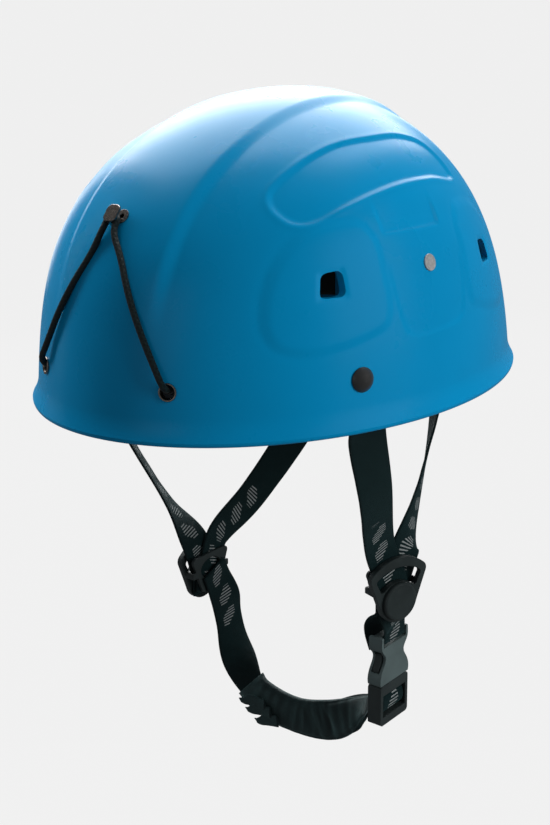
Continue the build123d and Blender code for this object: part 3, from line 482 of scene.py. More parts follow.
def smooth_line(points, step):
    """Centripetal curve through the points, sampled about every step."""
    points = [np.array(p, float) for p in points]
    padded = [2 * points[0] - points[1]] + points + [2 * points[-1] - points[-2]]
    samples, spots = [], []
    for i in range(1, len(padded) - 2):
        group = padded[i - 1:i + 3]
        knots = [0.0]
        for a, b in zip(group, group[1:]):
            knots.append(knots[-1] + max(np.linalg.norm(b[:3] - a[:3]), 1e-6) ** 0.5)
        count = max(2, int(np.linalg.norm(group[2][:3] - group[1][:3]) / step))
        for t in np.linspace(knots[1], knots[2], count, False):
            level = list(group)
            for width in (1, 2):
                level = [
                    ((knots[j + width] - t) * level[j] + (t - knots[j]) * level[j + 1])
                    / (knots[j + width] - knots[j])
                    for j in range(len(level) - 1)
                ]
            blend = (knots[2] - t) / (knots[2] - knots[1])
            samples.append(level[0] * blend + level[1] * (1 - blend))
            spots.append(i - blend)
    samples.append(points[-1])
    spots.append(len(points) - 1)
    return np.array(samples), np.array(spots)


def band_outline(width, thickness, count=12):
    """Closed cross-section of a band: round edges, more points across than through."""
    half, depth = width / 2, thickness / 2
    outline = [(half, 0.0)]
    for i in range(1, count):
        x = half * math.cos(math.pi * i / count)
        fall = max(0.0, (abs(x) - (half - depth * 1.5)) / (depth * 1.5))
        outline.append((x, depth * math.sqrt(max(0.0, 1 - fall * fall * 0.8))))
    outline.append((-half, 0.0))
    for x, y in reversed(outline[1:-1]):
        outline.append((x, -y))
    return outline


def ribbon_frames(stations, step):
    """Points, directions across and out of a band, distances and station numbers along it."""
    joined = [tuple(p) + tuple(Vector(n).normalized()) for p, n in stations]
    samples, spots = smooth_line(joined, step)
    line, normals = samples[:, :3], samples[:, 3:]
    along, run = follow(line)
    across = np.cross(along, normals)
    across /= np.linalg.norm(across, axis=1)[:, None]
    return line, across, np.cross(across, along), run, spots


def webbing(name, stations, slot="webbing", width=WEB_WIDTH, thickness=WEB_T,
            marked=None, step=2.0, wave=0.12, weave_start=0.0):
    """Woven band through (point, face normal) stations; marked gives the stations with woven dashes."""
    line, across, out, run, spots = ribbon_frames(stations, step)
    outline = band_outline(width, thickness)
    dice = random.Random(name)
    phases = [dice.uniform(0, 6.28) for _ in range(3)]
    verts, strip, dashes = [], [], []
    for i in range(len(line)):
        ripple = wave * math.sin(run[i] / 6.5 + phases[0]) + 0.5 * wave * math.sin(run[i] / 2.9 + phases[1])
        curl = wave * math.sin(run[i] / 11 + phases[2])
        shown = 0.0 if marked is None else float(marked[0] <= spots[i] <= marked[1])
        for u, v in outline:
            side = 2 * u / width
            lift = v + ripple * max(0, side) ** 3 + curl * max(0, -side) ** 3
            verts.append(line[i] + across[i] * u + out[i] * lift)
            strip.append(((run[i] + weave_start) * MM, u * MM, v * MM))
            dashes.append(shown)
    return make_object(name, verts, ring_faces(len(line), len(outline)), slot, strip, dashes)


# ---- shell surface ----

def fullness(level, shape):
    return np.sqrt(np.maximum(0.0, 1 - level ** shape[0])) * (1 - shape[1] * level)


def section(z, inset=0.0):
    """Half length, half width and centre y of the dome at height z."""
    level = np.clip(z / (DOME_HEIGHT - inset), 0, 1)
    front = (HALF_LENGTH - inset) * fullness(level, FRONT_SHAPE)
    rear = (HALF_LENGTH - inset) * fullness(level, REAR_SHAPE)
    side = (HALF_WIDTH - inset) * fullness(level, SIDE_SHAPE)
    flare = RIM_FLARE * np.maximum(0.0, 1 - z / FLARE_HEIGHT) ** 2
    return (front + rear) / 2 + flare, side + flare, (rear - front) / 2 + CROWN_SHIFT * level ** 2


def outside(y, z):
    half_length, half_width, centre = section(z)
    point = Vector((half_width * math.sqrt(1 - ((y - centre) / half_length) ** 2), y, z))
    return point, wall_normal(point)


def outside_end(x, z, side):
    half_length, half_width, centre = section(z)
    point = Vector((x, centre + side * half_length * math.sqrt(1 - (x / half_width) ** 2), z))
    return point, wall_normal(point)


def wall_normal(point):
    def depth(p):
        half_length, half_width, centre = section(p.z)
        return (p.x / half_width) ** 2 + ((p.y - centre) / half_length) ** 2

    step, slope = 0.01, []
    for axis in (Vector((1, 0, 0)), Vector((0, 1, 0)), Vector((0, 0, 1))):
        slope.append(depth(point + axis * step) - depth(point - axis * step))
    return Vector(slope).normalized()


FIXINGS = {
    "front": outside(*FRONT_RIVET),
    "rear": outside_end(*REAR_RIVET, 1),
    "eyelet": outside_end(EYELET_X, EYELET_Z, -1),
    "hook": outside_end(0, HOOK_Z, -1),
}


def signed_distance(px, py, outline):
    """Distance of each point to a closed outline, negative inside."""
    nearest = np.full(px.shape, 1e9)
    inside = np.zeros(px.shape, bool)
    for (ax, ay), (bx, by) in zip(outline, outline[1:] + outline[:1]):
        dx, dy = bx - ax, by - ay
        t = np.clip(((px - ax) * dx + (py - ay) * dy) / (dx * dx + dy * dy + 1e-12), 0, 1)
        nearest = np.minimum(nearest, np.hypot(px - ax - t * dx, py - ay - t * dy))
        crosses = ((ay > py) != (by > py)) & (px < (bx - ax) * (py - ay) / (by - ay + 1e-12) + ax)
        inside ^= crosses
    return np.where(inside, -nearest, nearest)


def closed_curve(points, step=2.0):
    wrapped = points[-2:] + points + points[:3]
    samples, spots = smooth_line([(x, y, 0) for x, y in wrapped], step)
    keep = (spots >= 2) & (spots < 2 + len(points))
    return [(float(p[0]), float(p[1])) for p in samples[keep]]


def smooth_step(value, low, high):
    t = np.clip((value - low) / (high - low), 0, 1)
    return t * t * (3 - 2 * t)


LENS_SLOPE = (0.72, 0.69)
LENS_TOP = [(54, -78, 105), (55, -63, 114), (58, -37, 123), (62, -11, 125), (63, 13, 124), (66, 30, 118)]
LENS_LOW = [
    (78, 36, 102), (82, 10, 105), (82, -16, 105), (78, -50, 99),
    (73, -67, 93), (69, -75, 92), (65, -79, 94), (58, -81, 100),
]
VENT_PANEL = [
    (-55, 93), (-49, 92), (-44, 84), (-44, 70), (-44, 53), (-47, 46), (-55, 43), (-72, 39),
    (-89, 38), (-98, 42), (-101, 50), (-97, 67), (-87, 81), (-72, 91),
]
PLATE = [(-38, 84), (-38, 46), (-34, 40), (-10, 39), (5, 41), (9, 47), (8, 84)]
CREST_HALF = 30.0
LENS_DEPTH, LENS_BEAD, CREST_RISE = 0.9, 0.2, 1.9
PANEL_RISE, PANEL_GROOVE, VENT_DISH = 0.6, 0.10, 0.5
PLATE_DEPTH, LEDGE_DEPTH = 0.5, 0.9


def relief(x, y, z):
    """Moulded relief of the outer face, in millimetres along its normal."""
    lens = closed_curve([(p[1], p[2] * LENS_SLOPE[0] - p[0] * LENS_SLOPE[1]) for p in LENS_TOP + LENS_LOW])
    side = np.abs(x)
    height = np.zeros(x.shape)
    to_lens = signed_distance(y, z * LENS_SLOPE[0] - side * LENS_SLOPE[1], lens)
    on_lens = (z > 60) & (side > 30)
    height -= np.where(on_lens, LENS_DEPTH * (1 - smooth_step(to_lens, -2.4, 0.6)), 0)
    height += np.where(on_lens, LENS_BEAD * np.exp(-((to_lens - 1.0) / 1.3) ** 2), 0)
    panel = closed_curve(VENT_PANEL)
    for at in (y, 2 * VENT_MIRROR_Y - y):
        to_panel = signed_distance(at, z, panel)
        raised = PANEL_RISE * (1 - smooth_step(to_panel, -4.0, 1.4))
        raised -= PANEL_GROOVE * np.exp(-((to_panel - 1.4) / 1.5) ** 2)
        height += np.where((side > 45) & (z > 25) & (z < 110), raised, 0)
        to_vent = signed_distance(at, z, VENT_OUTLINE)
        dished = VENT_DISH * (1 - smooth_step(to_vent, -0.4, 1.6))
        height -= np.where((side > 45) & (z > 40), dished, 0)
    to_plate = signed_distance(y, z, closed_curve(PLATE, 1.0))
    plate = PLATE_DEPTH * (1 - smooth_step(to_plate, -1.2, 0.4)) * (1 - smooth_step(z, 64, 78))
    height -= np.where(side > 60, plate, 0)
    beside = smooth_step(y, -39.5, -38) * (1 - smooth_step(y, -1, 0.5))
    ledge = LEDGE_DEPTH * smooth_step(z, 85.2, 87.0) * (1 - smooth_step(z, 90, 103)) * beside
    height -= np.where(side > 60, ledge, 0)
    crest = 1 - smooth_step(side, CREST_HALF - 3.5, CREST_HALF + 4.5)
    low_end = np.where(y < 0, smooth_step(z, 42, 84), smooth_step(z, 60, 105))
    return height + CREST_RISE * crest * low_end


RIM_DROP, WALL_TOP, CROWN_CLOSE = 2.2, 14, 0.02


def shell_rings(count, rows, inset, low):
    """Rings of dome points from the rim towards the crown."""
    turns = np.linspace(0, 2 * math.pi, count, False)
    climb = np.sin(np.linspace(0, 1, rows) * math.radians(89.2))
    wall_levels = np.linspace(low, WALL_TOP, 15)[:-1]
    levels = np.concatenate([wall_levels, WALL_TOP + (DOME_HEIGHT - inset - WALL_TOP) * climb])
    x, y, z = [], [], []
    for height in levels:
        half_length, half_width, centre = section(height, inset)
        x.append(half_width * np.sin(turns))
        y.append(centre - half_length * np.cos(turns))
        z.append(np.full(count, height))
    return np.array(x), np.array(y), np.array(z)


def ring_normals(x, y, z):
    grid = np.stack([x, y, z], -1)
    around = np.roll(grid, -1, 1) - np.roll(grid, 1, 1)
    upward = np.gradient(grid, axis=0)
    normal = np.cross(around, upward)
    return grid, normal / np.linalg.norm(normal, axis=2)[:, :, None]


def build_shell():
    """Outer face with its relief, rolled rim, and a plain inner face."""
    count = 640
    x, y, z = shell_rings(count, 190, 0.0, RIM_DROP)
    grid, normal = ring_normals(x, y, z)
    grid = grid + normal * relief(x, y, z)[:, :, None]
    inner = np.stack(shell_rings(count, 60, WALL, RIM_DROP), -1)
    middle, reach, lip = (grid[0] + inner[0]) / 2, (grid[0] - inner[0]) / 2, []
    for a in np.linspace(0, math.pi, 10)[1:-1]:
        lip.append(middle + reach * math.cos(a) + (0, 0, -RIM_DROP * math.sin(a)))
    rings = list(inner[::-1]) + lip[::-1] + list(grid)
    verts = np.concatenate(rings)
    faces = ring_faces(len(rings), count, False)
    last = len(verts)
    crown_in = (0, section(DOME_HEIGHT)[2], inner[-1][0][2] + CROWN_CLOSE)
    crown_out = (0, CROWN_SHIFT, grid[-1][:, 2].mean() + CROWN_CLOSE)
    verts = list(verts) + [crown_in, crown_out]
    top_row = (len(rings) - 1) * count
    for j in range(count):
        k = (j + 1) % count
        faces.append((last, k, j))
        faces.append((last + 1, top_row + j, top_row + k))
    shell = make_object("shell", verts, faces, "shell_blue")
    cut_openings(shell)
    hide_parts("outer_shell")
    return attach(shell, "helmet")


VENT_CORNER, VENT_REACH = 3.2, (60, 120)
HOLE_RADII = {"front": RIVET_SHANK_R, "rear": RIVET_SHANK_R, "eyelet": EYELET_R, "hook": HOOK_RIVET_R}
HOLE_PLAY, HOLE_REACH, HOLE_STEPS = 0.1, 7, 40


def fixing(name, side):
    """Place and outward direction of a fixing, mirrored for the right side."""
    flip = Vector((side, 1, 1))
    return FIXINGS[name][0] * flip, FIXINGS[name][1] * flip


def vent_prism(side, mirror):
    """Rounded vent outline carried through the wall."""
    outline = []
    corners = len(VENT_OUTLINE)
    for i in range(corners):
        here = Vector(VENT_OUTLINE[i])
        before = (Vector(VENT_OUTLINE[i - 1]) - here).normalized()
        after = (Vector(VENT_OUTLINE[(i + 1) % corners]) - here).normalized()
        start, end = here + before * VENT_CORNER, here + after * VENT_CORNER
        for t in np.linspace(0, 1, 9):
            outline.append(start * (1 - t) ** 2 + here * 2 * t * (1 - t) + end * t * t)
    rows = []
    for x in VENT_REACH:
        for p in outline:
            y = 2 * VENT_MIRROR_Y - p.x if mirror else p.x
            rows.append(Vector((side * x, y, p.y)))
    return rows, ring_faces(2, len(outline))


def cut_openings(shell):
    """Vents and fixing holes."""
    tools = [vent_prism(side, mirror) for side in (-1, 1) for mirror in (False, True)]
    for name, radius in HOLE_RADII.items():
        rod = [(radius + HOLE_PLAY, -HOLE_REACH), (radius + HOLE_PLAY, HOLE_REACH)]
        for side in (-1, 1) if name != "hook" else (1,):
            point, normal = fixing(name, side)
            tools.append((lathe(rod, point, normal, HOLE_STEPS), ring_faces(2, HOLE_STEPS)))
    verts, faces = [], []
    for rows, quads in tools:
        faces += [tuple(i + len(verts) for i in quad) for quad in quads]
        verts += rows
    cutter = make_object("cutter", verts, faces, "shell_blue")
    tidy = bmesh.new()
    tidy.from_mesh(cutter.data)
    bmesh.ops.recalc_face_normals(tidy, faces=tidy.faces)
    tidy.to_mesh(cutter.data)
    tidy.free()
    cut = shell.modifiers.new("cut", "BOOLEAN")
    cut.operation, cut.object, cut.solver = "DIFFERENCE", cutter, "EXACT"
    bake_modifiers(shell)
    bpy.data.objects.remove(cutter)
    mark_sharp(shell, 32)


def bake_modifiers(made):
    """Keeps the modified mesh and drops the modifiers."""
    graph = bpy.context.evaluated_depsgraph_get()
    graph.update()
    mesh = bpy.data.meshes.new_from_object(made.evaluated_get(graph), depsgraph=graph)
    made.modifiers.clear()
    made.data = mesh


def mark_sharp(made, degrees):
    made.data.set_sharp_from_angle(angle=math.radians(degrees))


# ---- lamp elastic ----

def hook_point(x, y, z):
    """A point given in the hook's own directions: left, up the shell, outward."""
    point, normal = FIXINGS["hook"]
    up = normal.cross(Vector((1, 0, 0)))
    return point + normal * 0.3 + Vector((1, 0, 0)) * x + up * y + normal * z


def elastic_route():
    lift = ELASTIC_R + 0.9
    point, normal = FIXINGS["eyelet"]
    leg = [point - normal * 6.0, point + normal * 3.9]
    for x, z in ((32.0, 37.0), (24.0, 52.0), (16.0, 66.0), (9.0, 78.0)):
        place, out = outside_end(x, z, -1)
        leg.append(place + out * lift)
    height = HOOK_PLATE_T + HOOK_GAP - 0.2 - ELASTIC_R
    spots = ((3.2, -9.0), (3.0, -1.5), (-3.0, -1.5), (-3.2, -9.0))
    loop = [hook_point(HOOK_CENTRE_X + x, y, height) for x, y in spots]
    other = [Vector((-p.x, p.y, p.z)) for p in reversed(leg)]
    return leg + loop + other


def nurbs_line(points):
    """Points along an order-3 curve with these control points."""
    curve = bpy.data.curves.new("route", "CURVE")
    curve.dimensions = "3D"
    spline = curve.splines.new("NURBS")
    spline.points.add(len(points) - 1)
    for spot, p in zip(spline.points, points):
        spot.co = (p[0], p[1], p[2], 1)
    spline.order_u, spline.use_endpoint_u, spline.resolution_u = 3, True, 14
    holder = bpy.data.objects.new("route", curve)
    bpy.context.scene.collection.objects.link(holder)
    mesh = bpy.data.meshes.new_from_object(holder)
    line = np.array([tuple(v.co) for v in mesh.vertices])
    bpy.data.objects.remove(holder)
    bpy.data.curves.remove(curve)
    bpy.data.meshes.remove(mesh)
    return line


def cord_tube(name, line, radius, ridge=0.0):
    """Round cord along a line, with a turning frame that never twists."""
    along, run = follow(line)
    side, count = np.cross(along[0], (0.3, 0.2, 1.0)), 16
    verts, strip = [], []
    for i in range(len(line)):
        side = side - along[i] * np.dot(side, along[i])
        side /= np.linalg.norm(side)
        other = np.cross(along[i], side)
        for j in range(count):
            a = 2 * math.pi * j / count
            swell = radius * (1 + ridge * math.sin(8 * a + run[i] * 2.4))
            verts.append(line[i] + (side * math.cos(a) + other * math.sin(a)) * swell)
            strip.append((run[i] * MM, a if a < math.pi else 2 * math.pi - a, 0))
    return make_object(name, verts, ring_faces(len(line), count), "elastic", strip)


EYELET_PROFILE = [
    (4.05, 0.0), (4.2, 0.4), (4.05, 0.8), (3.7, 0.95), (3.4, 0.75), (3.15, 0.3), (2.95, -0.4), (2.9, -2.4),
]


def build_eyelets():
    """Rolled metal rims round the two cord holes."""
    count = 48
    for side, word in SIDES:
        verts = lathe(EYELET_PROFILE, *fixing("eyelet", side), count)
        rim = make_object("eyelet_" + word, verts, ring_faces(len(EYELET_PROFILE), count, False), "nickel")
        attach(rim, "helmet")
        if side == 1:
            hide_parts("lamp_eyelets")


KNOT_DEPTH, KNOT_R, KNOT_SWING, KNOT_RISE, KNOT_CORD_R = 9.0, 1.35, 0.75, 0.9, 1.25


def knot_line(point, out):
    """Closed trefoil route of a stopper knot behind its eyelet."""
    across, other = crossways(out)
    line = []
    for t in np.linspace(0, 2 * math.pi, 72, False):
        reach = KNOT_R + KNOT_SWING * math.cos(3 * t)
        spot = across * (reach * math.cos(2 * t)) + other * (reach * math.sin(2 * t))
        line.append(point - out * KNOT_DEPTH + spot + out * (KNOT_RISE * math.sin(3 * t)))
    return np.array([tuple(p) for p in line + line[:1]])


def build_elastic():
    cord = cord_tube("lamp_cord", nurbs_line(elastic_route()), ELASTIC_R, ridge=0.03)
    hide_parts("lamp_elastic")
    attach(cord, "helmet")
    for side, word in SIDES:
        knot = cord_tube("cord_knot_" + word, knot_line(*fixing("eyelet", side)), KNOT_CORD_R)
        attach(knot, "helmet")
        if side == 1:
            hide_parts("elastic_knots")


# ---- webbing ----

class Plate:
    """A strap divider's own directions."""

    def __init__(self, origin, x_dir, z_dir):
        self.origin, self.x, self.z = Vector(origin), Vector(x_dir).normalized(), Vector(z_dir).normalized()
        self.y = self.z.cross(self.x)
        self.facing = z_dir

    def stations(self, layer, spots):
        """Strap stations through the plate, from (across, up) spots at one height."""
        made = []
        for across, up in spots:
            made.append((tuple(self.origin + self.x * across + self.y * up + self.z * layer), self.facing))
        return made


LEFT_DIVIDER = Plate((69, 5, -108), (0.292, 0.956, 0), (0.956, -0.292, 0))
RIGHT_DIVIDER = Plate((-60, -1, -128), (0, -1, 0), (-1, 0, 0))
STRAP_STARTS = {
    # deeper than STRAP_DEPTH, down the wall, sideways
    "front": ((0, -9, 0), (0, 6, -2), (0, 16, -5)),
    "rear": ((0, -9, 0), (0, 6, 1), (1.2, 13, 2.5)),
}


def strap_start(name, side):
    """First stations of a strap, under its rivet and down the inside of the shell."""
    point, normal = FIXINGS[name]
    sideways = normal.cross(Vector((0, 0, 1))).normalized()
    up_the_wall = sideways.cross(normal).normalized()
    made = []
    for deeper, down, spread in STRAP_STARTS[name]:
        place = point - normal * (STRAP_DEPTH + deeper) - up_the_wall * down + sideways * spread
        made.append(((side * place.x, place.y, place.z), (side * normal.x, normal.y, normal.z)))
    return made


def strap_routes():
    left, right = LEFT_DIVIDER.stations, RIGHT_DIVIDER.stations
    return {
        "strap_front_left": (strap_start("front", 1) + [
            ((87.4, -48.2, -9), (0.86, -0.51, 0)),
            ((79.4, -29.4, -42), (0.90, -0.43, 0)),
            *left(FRONT_LAYER, ((-9.0, 22), (-4.4, 11), (-0.8, 0), (0.0, -11))),
            ((67.4, 8.6, -127), (0.97, -0.24, 0)),
            ((63.9, 12.4, -133), (1, 0, 0)),
            ((63.3, 13.0, -138), (1, 0, 0)),
            ((63.3, 13.0, -142.2), (1, 0, 0)),
        ], (4.5, 12)),
        "strap_rear_left": (strap_start("rear", 1) + [
            ((33.0, 108.0, -8), (0.45, 0.80, -0.3)),
            ((44.0, 79.0, -41), (0.72, 0.62, -0.2)),
            ((58.0, 42.0, -72), (0.92, 0.30, -0.1)),
            *left(REAR_LAYER, ((10.0, 21), (6.4, 11), (2.2, 0))),
            *left(REAR_LAYER - 0.4, ((0.0, -9.5), (0.0, -13.2))),
            ((59.5, 8.4, -126.5), (0.80, -0.24, -0.5)),
            ((53.6, 10.8, -131.5), (0.95, -0.1, -0.2)),
            ((51.8, 12.4, -138.0), (0.99, 0, 0.1)),
            ((54.4, 13.0, -147.5), (0.97, 0, 0.25)),
        ], (4.6, 9.5)),
        "strap_front_right": (strap_start("front", -1) + [
            ((-87.4, -48.0, -12), (-0.78, -0.50, -0.20)),
            ((-81.0, -31.0, -52), (-0.59, -0.60, -0.31)),
            ((-70.0, -17.0, -86), (-0.68, -0.56, -0.24)),
            *right(FRONT_LAYER, ((7.5, 18), (3.5, 7), (0.6, -3), (0.0, -14.5))),
        ], (3.5, 9)),
        "strap_rear_right": (strap_start("rear", -1) + [
            ((-33.0, 104.0, -12), (-0.45, 0.80, -0.3)),
            ((-42.0, 60.0, -62), (-0.85, 0.45, -0.2)),
            ((-52.0, 34.0, -93), (-0.95, 0.25, -0.1)),
            *right(REAR_LAYER, ((-9.0, 17), (-4.4, 7), (-1.0, -3), (0.0, -13))),
        ], (4.8, 9)),
    }


CHIN_ROUTE = [
    ((-53.0, 0.5, -127.5), (1, 0, 0)),
    ((-53.0, 3.6, -135.0), (1, 0, 0)),
    ((-50.8, 7.6, -148.0), (0.97, -0.25, 0)),
    ((-51.6, 11.0, -162.5), (0.99, -0.12, 0)),
    ((-47.5, 10.5, -177.5), (0.93, -0.36, 0)),
    ((-39.0, 9.0, -192), (0.50, -0.86, 0)),
    ((-33.5, 8.6, -198.4), (0.20, -0.97, 0)),
    ((-26.5, 8.2, -203.2), (-0.02, -1.0, 0)),
    ((-10.0, 8.5, -207.4), (-0.06, -0.99, 0)),
    ((8.0, 9.5, -207.6), (0.08, -0.99, 0)),
    ((24.0, 10.5, -203.6), (0.2, -0.95, 0.1)),
    ((37.0, 11.5, -196.2), (0.3, -0.70, 0.55)),
    ((47.0, 12.5, -189.0), (0.3, -0.25, 0.9)),
    ((53.0, 13.0, -184.8), (0.42, 0, 0.9)),
]
SLEEVE_FIRST, SLEEVE_LAST = 6, 11
CHIN_START, CHIN_END = (-0.055, 0, -0.15), (0.045, 0, -0.15)


def build_straps():
    for name, (stations, marked) in strap_routes().items():
        band = webbing(name + "_web", stations, marked=marked)
        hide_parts(name)
        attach(band, "helmet")
    chin = webbing("chin_web", CHIN_ROUTE, marked=(0, 3.3))
    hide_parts("chin_strap")
    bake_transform(chin, "helmet", "buckle_male_half", CHIN_START, CHIN_END)


def build_wrap():
    """Chin webbing round the male half's middle bar."""
    route = [
        ((54.6, 13, -184.3), (-0.3, 0, -0.95)), ((58.0, 13, -183.9), (-0.15, 0, -1)),
        ((61.4, 13, -183.3), (-0.3, 0, -0.95)), ((62.75, 13, -181.2), (1, 0, -0.1)),
        ((63.05, 13, -178.9), (1, 0, 0)), ((62.75, 13, -176.5), (1, 0, 0.1)),
        ((61.4, 13, -174.4), (0.3, 0, 0.95)), ((57.0, 13, -174.1), (0, 0, 1)),
    ]
    band = webbing("buckle_web", route, marked=(0, 9), step=0.7, wave=0.03, weave_start=9.0)
    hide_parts("buckle_wrap")
    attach(band, "buckle_male_half")


def sleeve_folds(length):
    """Place, width, depth, slant and narrowness of each gather."""
    dice = random.Random(SEED)
    folds = []
    for _ in range(26):
        centre = dice.gauss(0.56, 0.16) * length
        rest = [dice.uniform(*span) for span in ((1.0, 2.6), (0.08, 0.34), (-0.5, 0.5), (0.2, 0.9))]
        folds.append((centre, *rest))
    return folds


def build_sleeve():
    """Padded fabric tube on the chin strap: sewn edges, gathered in the middle."""
    line, across, out, run, spots = ribbon_frames(CHIN_ROUTE, 0.8)
    keep = (spots >= SLEEVE_FIRST) & (spots <= SLEEVE_LAST + 1.15)
    line, across, out, run = line[keep], across[keep], out[keep], run[keep] - run[keep][0]
    narrow = smooth_step(spots[keep], SLEEVE_LAST - 1.5, SLEEVE_LAST + 1.0)
    length, outline = run[-1], soft_outline(56, 0.55, 0.85)
    folds, verts, strip = sleeve_folds(length), [], []
    for i in range(len(line)):
        ends = min(run[i], length - run[i])
        close = 1 - 0.42 * math.exp(-ends / 2.2)
        swell = 0.5 * math.sin(math.pi * run[i] / length) + 0.35 * math.sin(run[i] / 9.0)
        half = SLEEVE_WIDTH / 2 + 0.35 * math.sin(run[i] / 7.3) - 0.25 - 3.2 * narrow[i]
        depth = (SLEEVE_T / 2 + 0.25 * swell) * close
        for u, v in outline:
            crease = 0.0
            for centre, width, deep, slant, spread in folds:
                shift = run[i] - centre - slant * 7 * u
                crease -= deep * math.exp(-(shift / width) ** 2) * max(0.0, 1 - abs(u) * spread)
            crease += 0.16 * math.sin(run[i] * 0.9 + 2 * u)
            seam = 0.55 * math.exp(-((abs(u) - 0.86) / 0.05) ** 2)
            lift = v * (depth - seam) + (crease if v > 0 else 0.4 * crease) * abs(v)
            verts.append(line[i] + across[i] * (u * half) + out[i] * lift)
            strip.append((run[i] * MM, u * half * MM, 0))
    faces = ring_faces(len(line), len(outline))
    sleeve = make_object("chin_sleeve_tube", verts, faces, "sleeve_fabric", strip)
    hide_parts("chin_sleeve")
    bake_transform(sleeve, "helmet", "buckle_male_half", CHIN_START, CHIN_END)


def build_tail():
    """Three layered, pointed ends of folded webbing at the sleeve's first end."""
    layers = [
        [(-19.0, 3.6, -206.0), (-25.0, 3.4, -205.6), (-31.0, 3.0, -206.0), (-36.7, 2.4, -207.6)],
        [(-15.0, 3.8, -209.8), (-21.0, 3.6, -210.0), (-27.0, 3.2, -210.8), (-32.1, 2.8, -212.3)],
        [(-10.0, 4.2, -213.8), (-15.0, 4.0, -214.6), (-20.5, 3.7, -215.8), (-25.6, 3.4, -217.6)],
    ]
    for number, places in enumerate(layers):
        stations = [(p, (-0.06, -1.0, 0.0)) for p in places]
        flap = webbing(f"chin_tail_{number}", stations, "sleeve_fabric", 7.0, 1.0, step=0.8, wave=0.2)
        taper_end(flap, places[-1])
        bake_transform(flap, "helmet", "buckle_male_half", CHIN_START, CHIN_END)
        if number == 0:
            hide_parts("chin_strap_tail")


def taper_end(made, tip):
    """Draws the last stretch of a band in to a blunt point."""
    tip, reach = Vector(tip) * MM, 6.0 * MM
    for v in made.data.vertices:
        share = min(1.0, max(0.0, (v.co.x - tip.x) / reach))
        if (v.co - tip).length < 3 * reach:
            pull = 1 - 0.72 * (1 - share) ** 1.3
            v.co.z = tip.z + (v.co.z - tip.z) * pull


def cradle_stations(side, height):
    front, rear = Vector((side * 60.0, -62.0, 0)), Vector((-side * 34.0, 80.0, 0))
    middle, reach = (front + rear) * 0.5, (rear - front) * 0.5
    low, steps, stations = 22.0, 12, []
    for i in range(steps + 1):
        turn = math.pi * (i / steps - 0.5)
        place = middle + reach * math.sin(turn) + Vector((0, 0, low + (height - low) * math.cos(turn)))
        out = reach * (math.sin(turn) / reach.length) + Vector((0, 0, math.cos(turn)))
        stations.append((tuple(place), tuple(out)))
    return stations


def build_cradle():
    for name, side, height in (("cradle_strap_lower", 1, 103.0), ("cradle_strap_upper", -1, 108.5)):
        band = webbing(name + "_web", cradle_stations(side, height), "cradle_webbing", 15.0)
        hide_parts(name)
        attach(band, "helmet")


# ---- headband sides and pads ----

SIDE_ROUTE = [
    ((77.9, 2.0), (1, 0)), ((78.0, 5.6), (1, 0)), ((78.6, 18), (1, 0.02)), ((78.2, 32), (1, 0.08)),
    ((76.4, 46), (0.97, 0.2)), ((73.2, 57.5), (0.93, 0.35)), ((71.4, 61.8), (0.93, 0.35)),
]
BAND_MID = (BAND_LOW + BAND_HIGH) / 2


def build_sides():
    """Flexible stretches of the headband, overlapping the brow part and the arm."""
    for side, word in ((1, "left"), (-1, "right")):
        stations = [((side * x, y, BAND_MID), (side * n[0], n[1], 0)) for (x, y), n in SIDE_ROUTE]
        size = (BAND_HIGH - BAND_LOW, BAND_T + 0.2)
        band = webbing("headband_flex_" + word, stations, "band_plastic", *size, wave=0.0)
        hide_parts("headband_side_" + word)
        start, end = (side * 0.078, 0.0056, 0.007), (side * 0.0732, 0.0575, 0.007)
        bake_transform(band, "helmet", "arm_" + word, start, end)


def pad_mesh(name, rows, width, thickness, channels):
    """Closed soft strip along (point, outward normal) rows, crowned with sewn channels."""
    line, across, out, run, _ = ribbon_frames(rows, 2.0)
    length, outline = run[-1], soft_outline(32, 0.7, 0.9)
    verts, strip = [], []
    for i in range(len(line)):
        ends = min(run[i], length - run[i])
        close = math.sqrt(min(1.0, (ends + 0.6) / 6.0))
        stitch = sum(math.exp(-((run[i] - length * c) / 1.2) ** 2) for c in channels)
        half = width / 2 * (0.75 + 0.25 * close)
        for u, v in outline:
            depth = thickness / 2 * close * (1 - 0.45 * min(1.0, stitch) * (1 if v < 0 else 0.1))
            verts.append(line[i] + across[i] * (u * half) + out[i] * (v * depth))
            strip.append((run[i] * MM, u * width / 2 * MM, 0))
    return make_object(name, verts, ring_faces(len(line), len(outline)), "pad_fabric", strip)


PAD_PRESSURE, PAD_FRAMES, PAD_MOVE, PAD_INSET = 4.0, 20, 0.5 * MM, 3.4


def inflate(made):
    """Cloth simulation with inner pressure; no point moves further than PAD_MOVE."""
    start = [v.co.copy() for v in made.data.vertices]
    cloth = made.modifiers.new("cloth", "CLOTH")
    cloth.settings.use_pressure = True
    cloth.settings.uniform_pressure_force = PAD_PRESSURE
    cloth.settings.effector_weights.gravity = 0.0
    cloth.settings.quality = 5
    cloth.point_cache.frame_end = PAD_FRAMES
    scene = bpy.context.scene
    for number in range(1, PAD_FRAMES + 1):
        scene.frame_set(number)
    bake_modifiers(made)
    scene.frame_set(1)
    for v, before in zip(made.data.vertices, start):
        move = v.co - before
        if move.length > PAD_MOVE:
            v.co = before + move.normalized() * PAD_MOVE
    made.data.polygons.foreach_set("use_smooth", [True] * len(made.data.polygons))


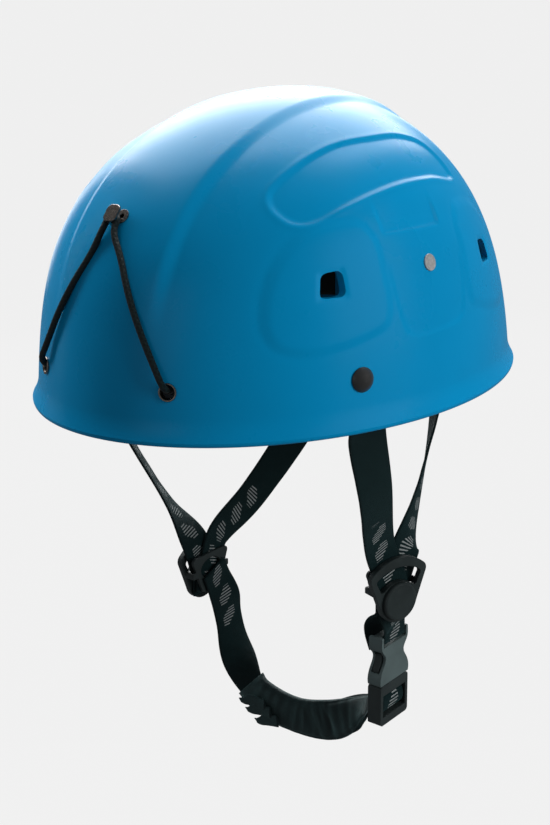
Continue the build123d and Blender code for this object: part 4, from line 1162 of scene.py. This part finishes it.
def build_pads():
    stations, half_width, front = [], BAND_HALF_WIDTH - PAD_INSET, BAND_FRONT - PAD_INSET
    for degrees in range(-56, 57, 8):
        turn = math.radians(degrees)
        place = (half_width * math.sin(turn), -front * math.cos(turn), BAND_MID)
        out = (math.sin(turn) / BAND_HALF_WIDTH, -math.cos(turn) / BAND_FRONT, 0)
        stations.append((place, out))
    brow = pad_mesh("brow_cushion", stations, BAND_HIGH - BAND_LOW - 2.2, 3.4, (0.2, 0.4, 0.6, 0.8))
    inflate(brow)
    stations = [((x, 84.1, 7), (0, 1, 0)) for x in (-28.4, 0, 28.4)]
    nape = pad_mesh("nape_cushion", stations, 28.0, 3.9, (0.32, 0.68))
    inflate(nape)
    for pad, node in ((brow, "brow_pad"), (nape, "nape_pad")):
        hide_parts(node)
        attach(pad, "helmet")


# ---- small parts and finishes ----

SEAL_PROFILE = [
    # share of the seal's radius, height over the plate
    (1.0, -0.45), (1.0, 0.23), (0.97, 0.35), (0.78, 0.35), (0.74, 0.275), (0.3, 0.29), (0.05, 0.29),
]


def build_seal():
    """Plain round seal on the left label plate."""
    rings, count = [(share * SEAL_R, height) for share, height in SEAL_PROFILE], 40
    verts = lathe(rings, *outside(*SEAL_PLACE), count)
    seal = make_object("round_seal", verts, ring_faces(len(rings), count), "seal_foil")
    mark_sharp(seal, 30)
    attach(seal, "helmet")


DRESSED = {
    "foam_liner": ["crown_liner"],
    "rivet_plastic": ["front_rivets", "rear_rivets"],
    "zinc_steel": ["front_rivet_washers", "rear_rivet_washers", "knob_screw", "cover_screws"],
    "nickel": ["lamp_hook", "lamp_hook_rivet"],
    "dark_plastic": ["divider_left", "divider_right", "divider_disc_left", "divider_disc_right",
                     "buckle_male", "buckle_prong_front", "buckle_prong_rear"],
    "hardware_plastic": ["buckle_female"],
    "band_plastic": ["headband", "nape_arm_left", "nape_arm_right", "nape_back_cover", "nape_front_cover",
                     "front_hangers", "rear_hangers"],
    "knob_plastic": ["nape_knob", "nape_pinion"],
}


def dress_nodes():
    """Procedural finishes on the CAD pieces that stay."""
    for material, names in DRESSED.items():
        for name in names:
            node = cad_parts[name]
            if not node.material_slots:
                node.data.materials.append(None)
            for holder in node.material_slots:
                holder.material = MATERIALS[material]


build_camera()
build_stage()
build_shell()
build_eyelets()
build_elastic()
build_straps()
build_wrap()
build_sleeve()
build_tail()
build_cradle()
build_sides()
build_pads()
build_seal()
dress_nodes()
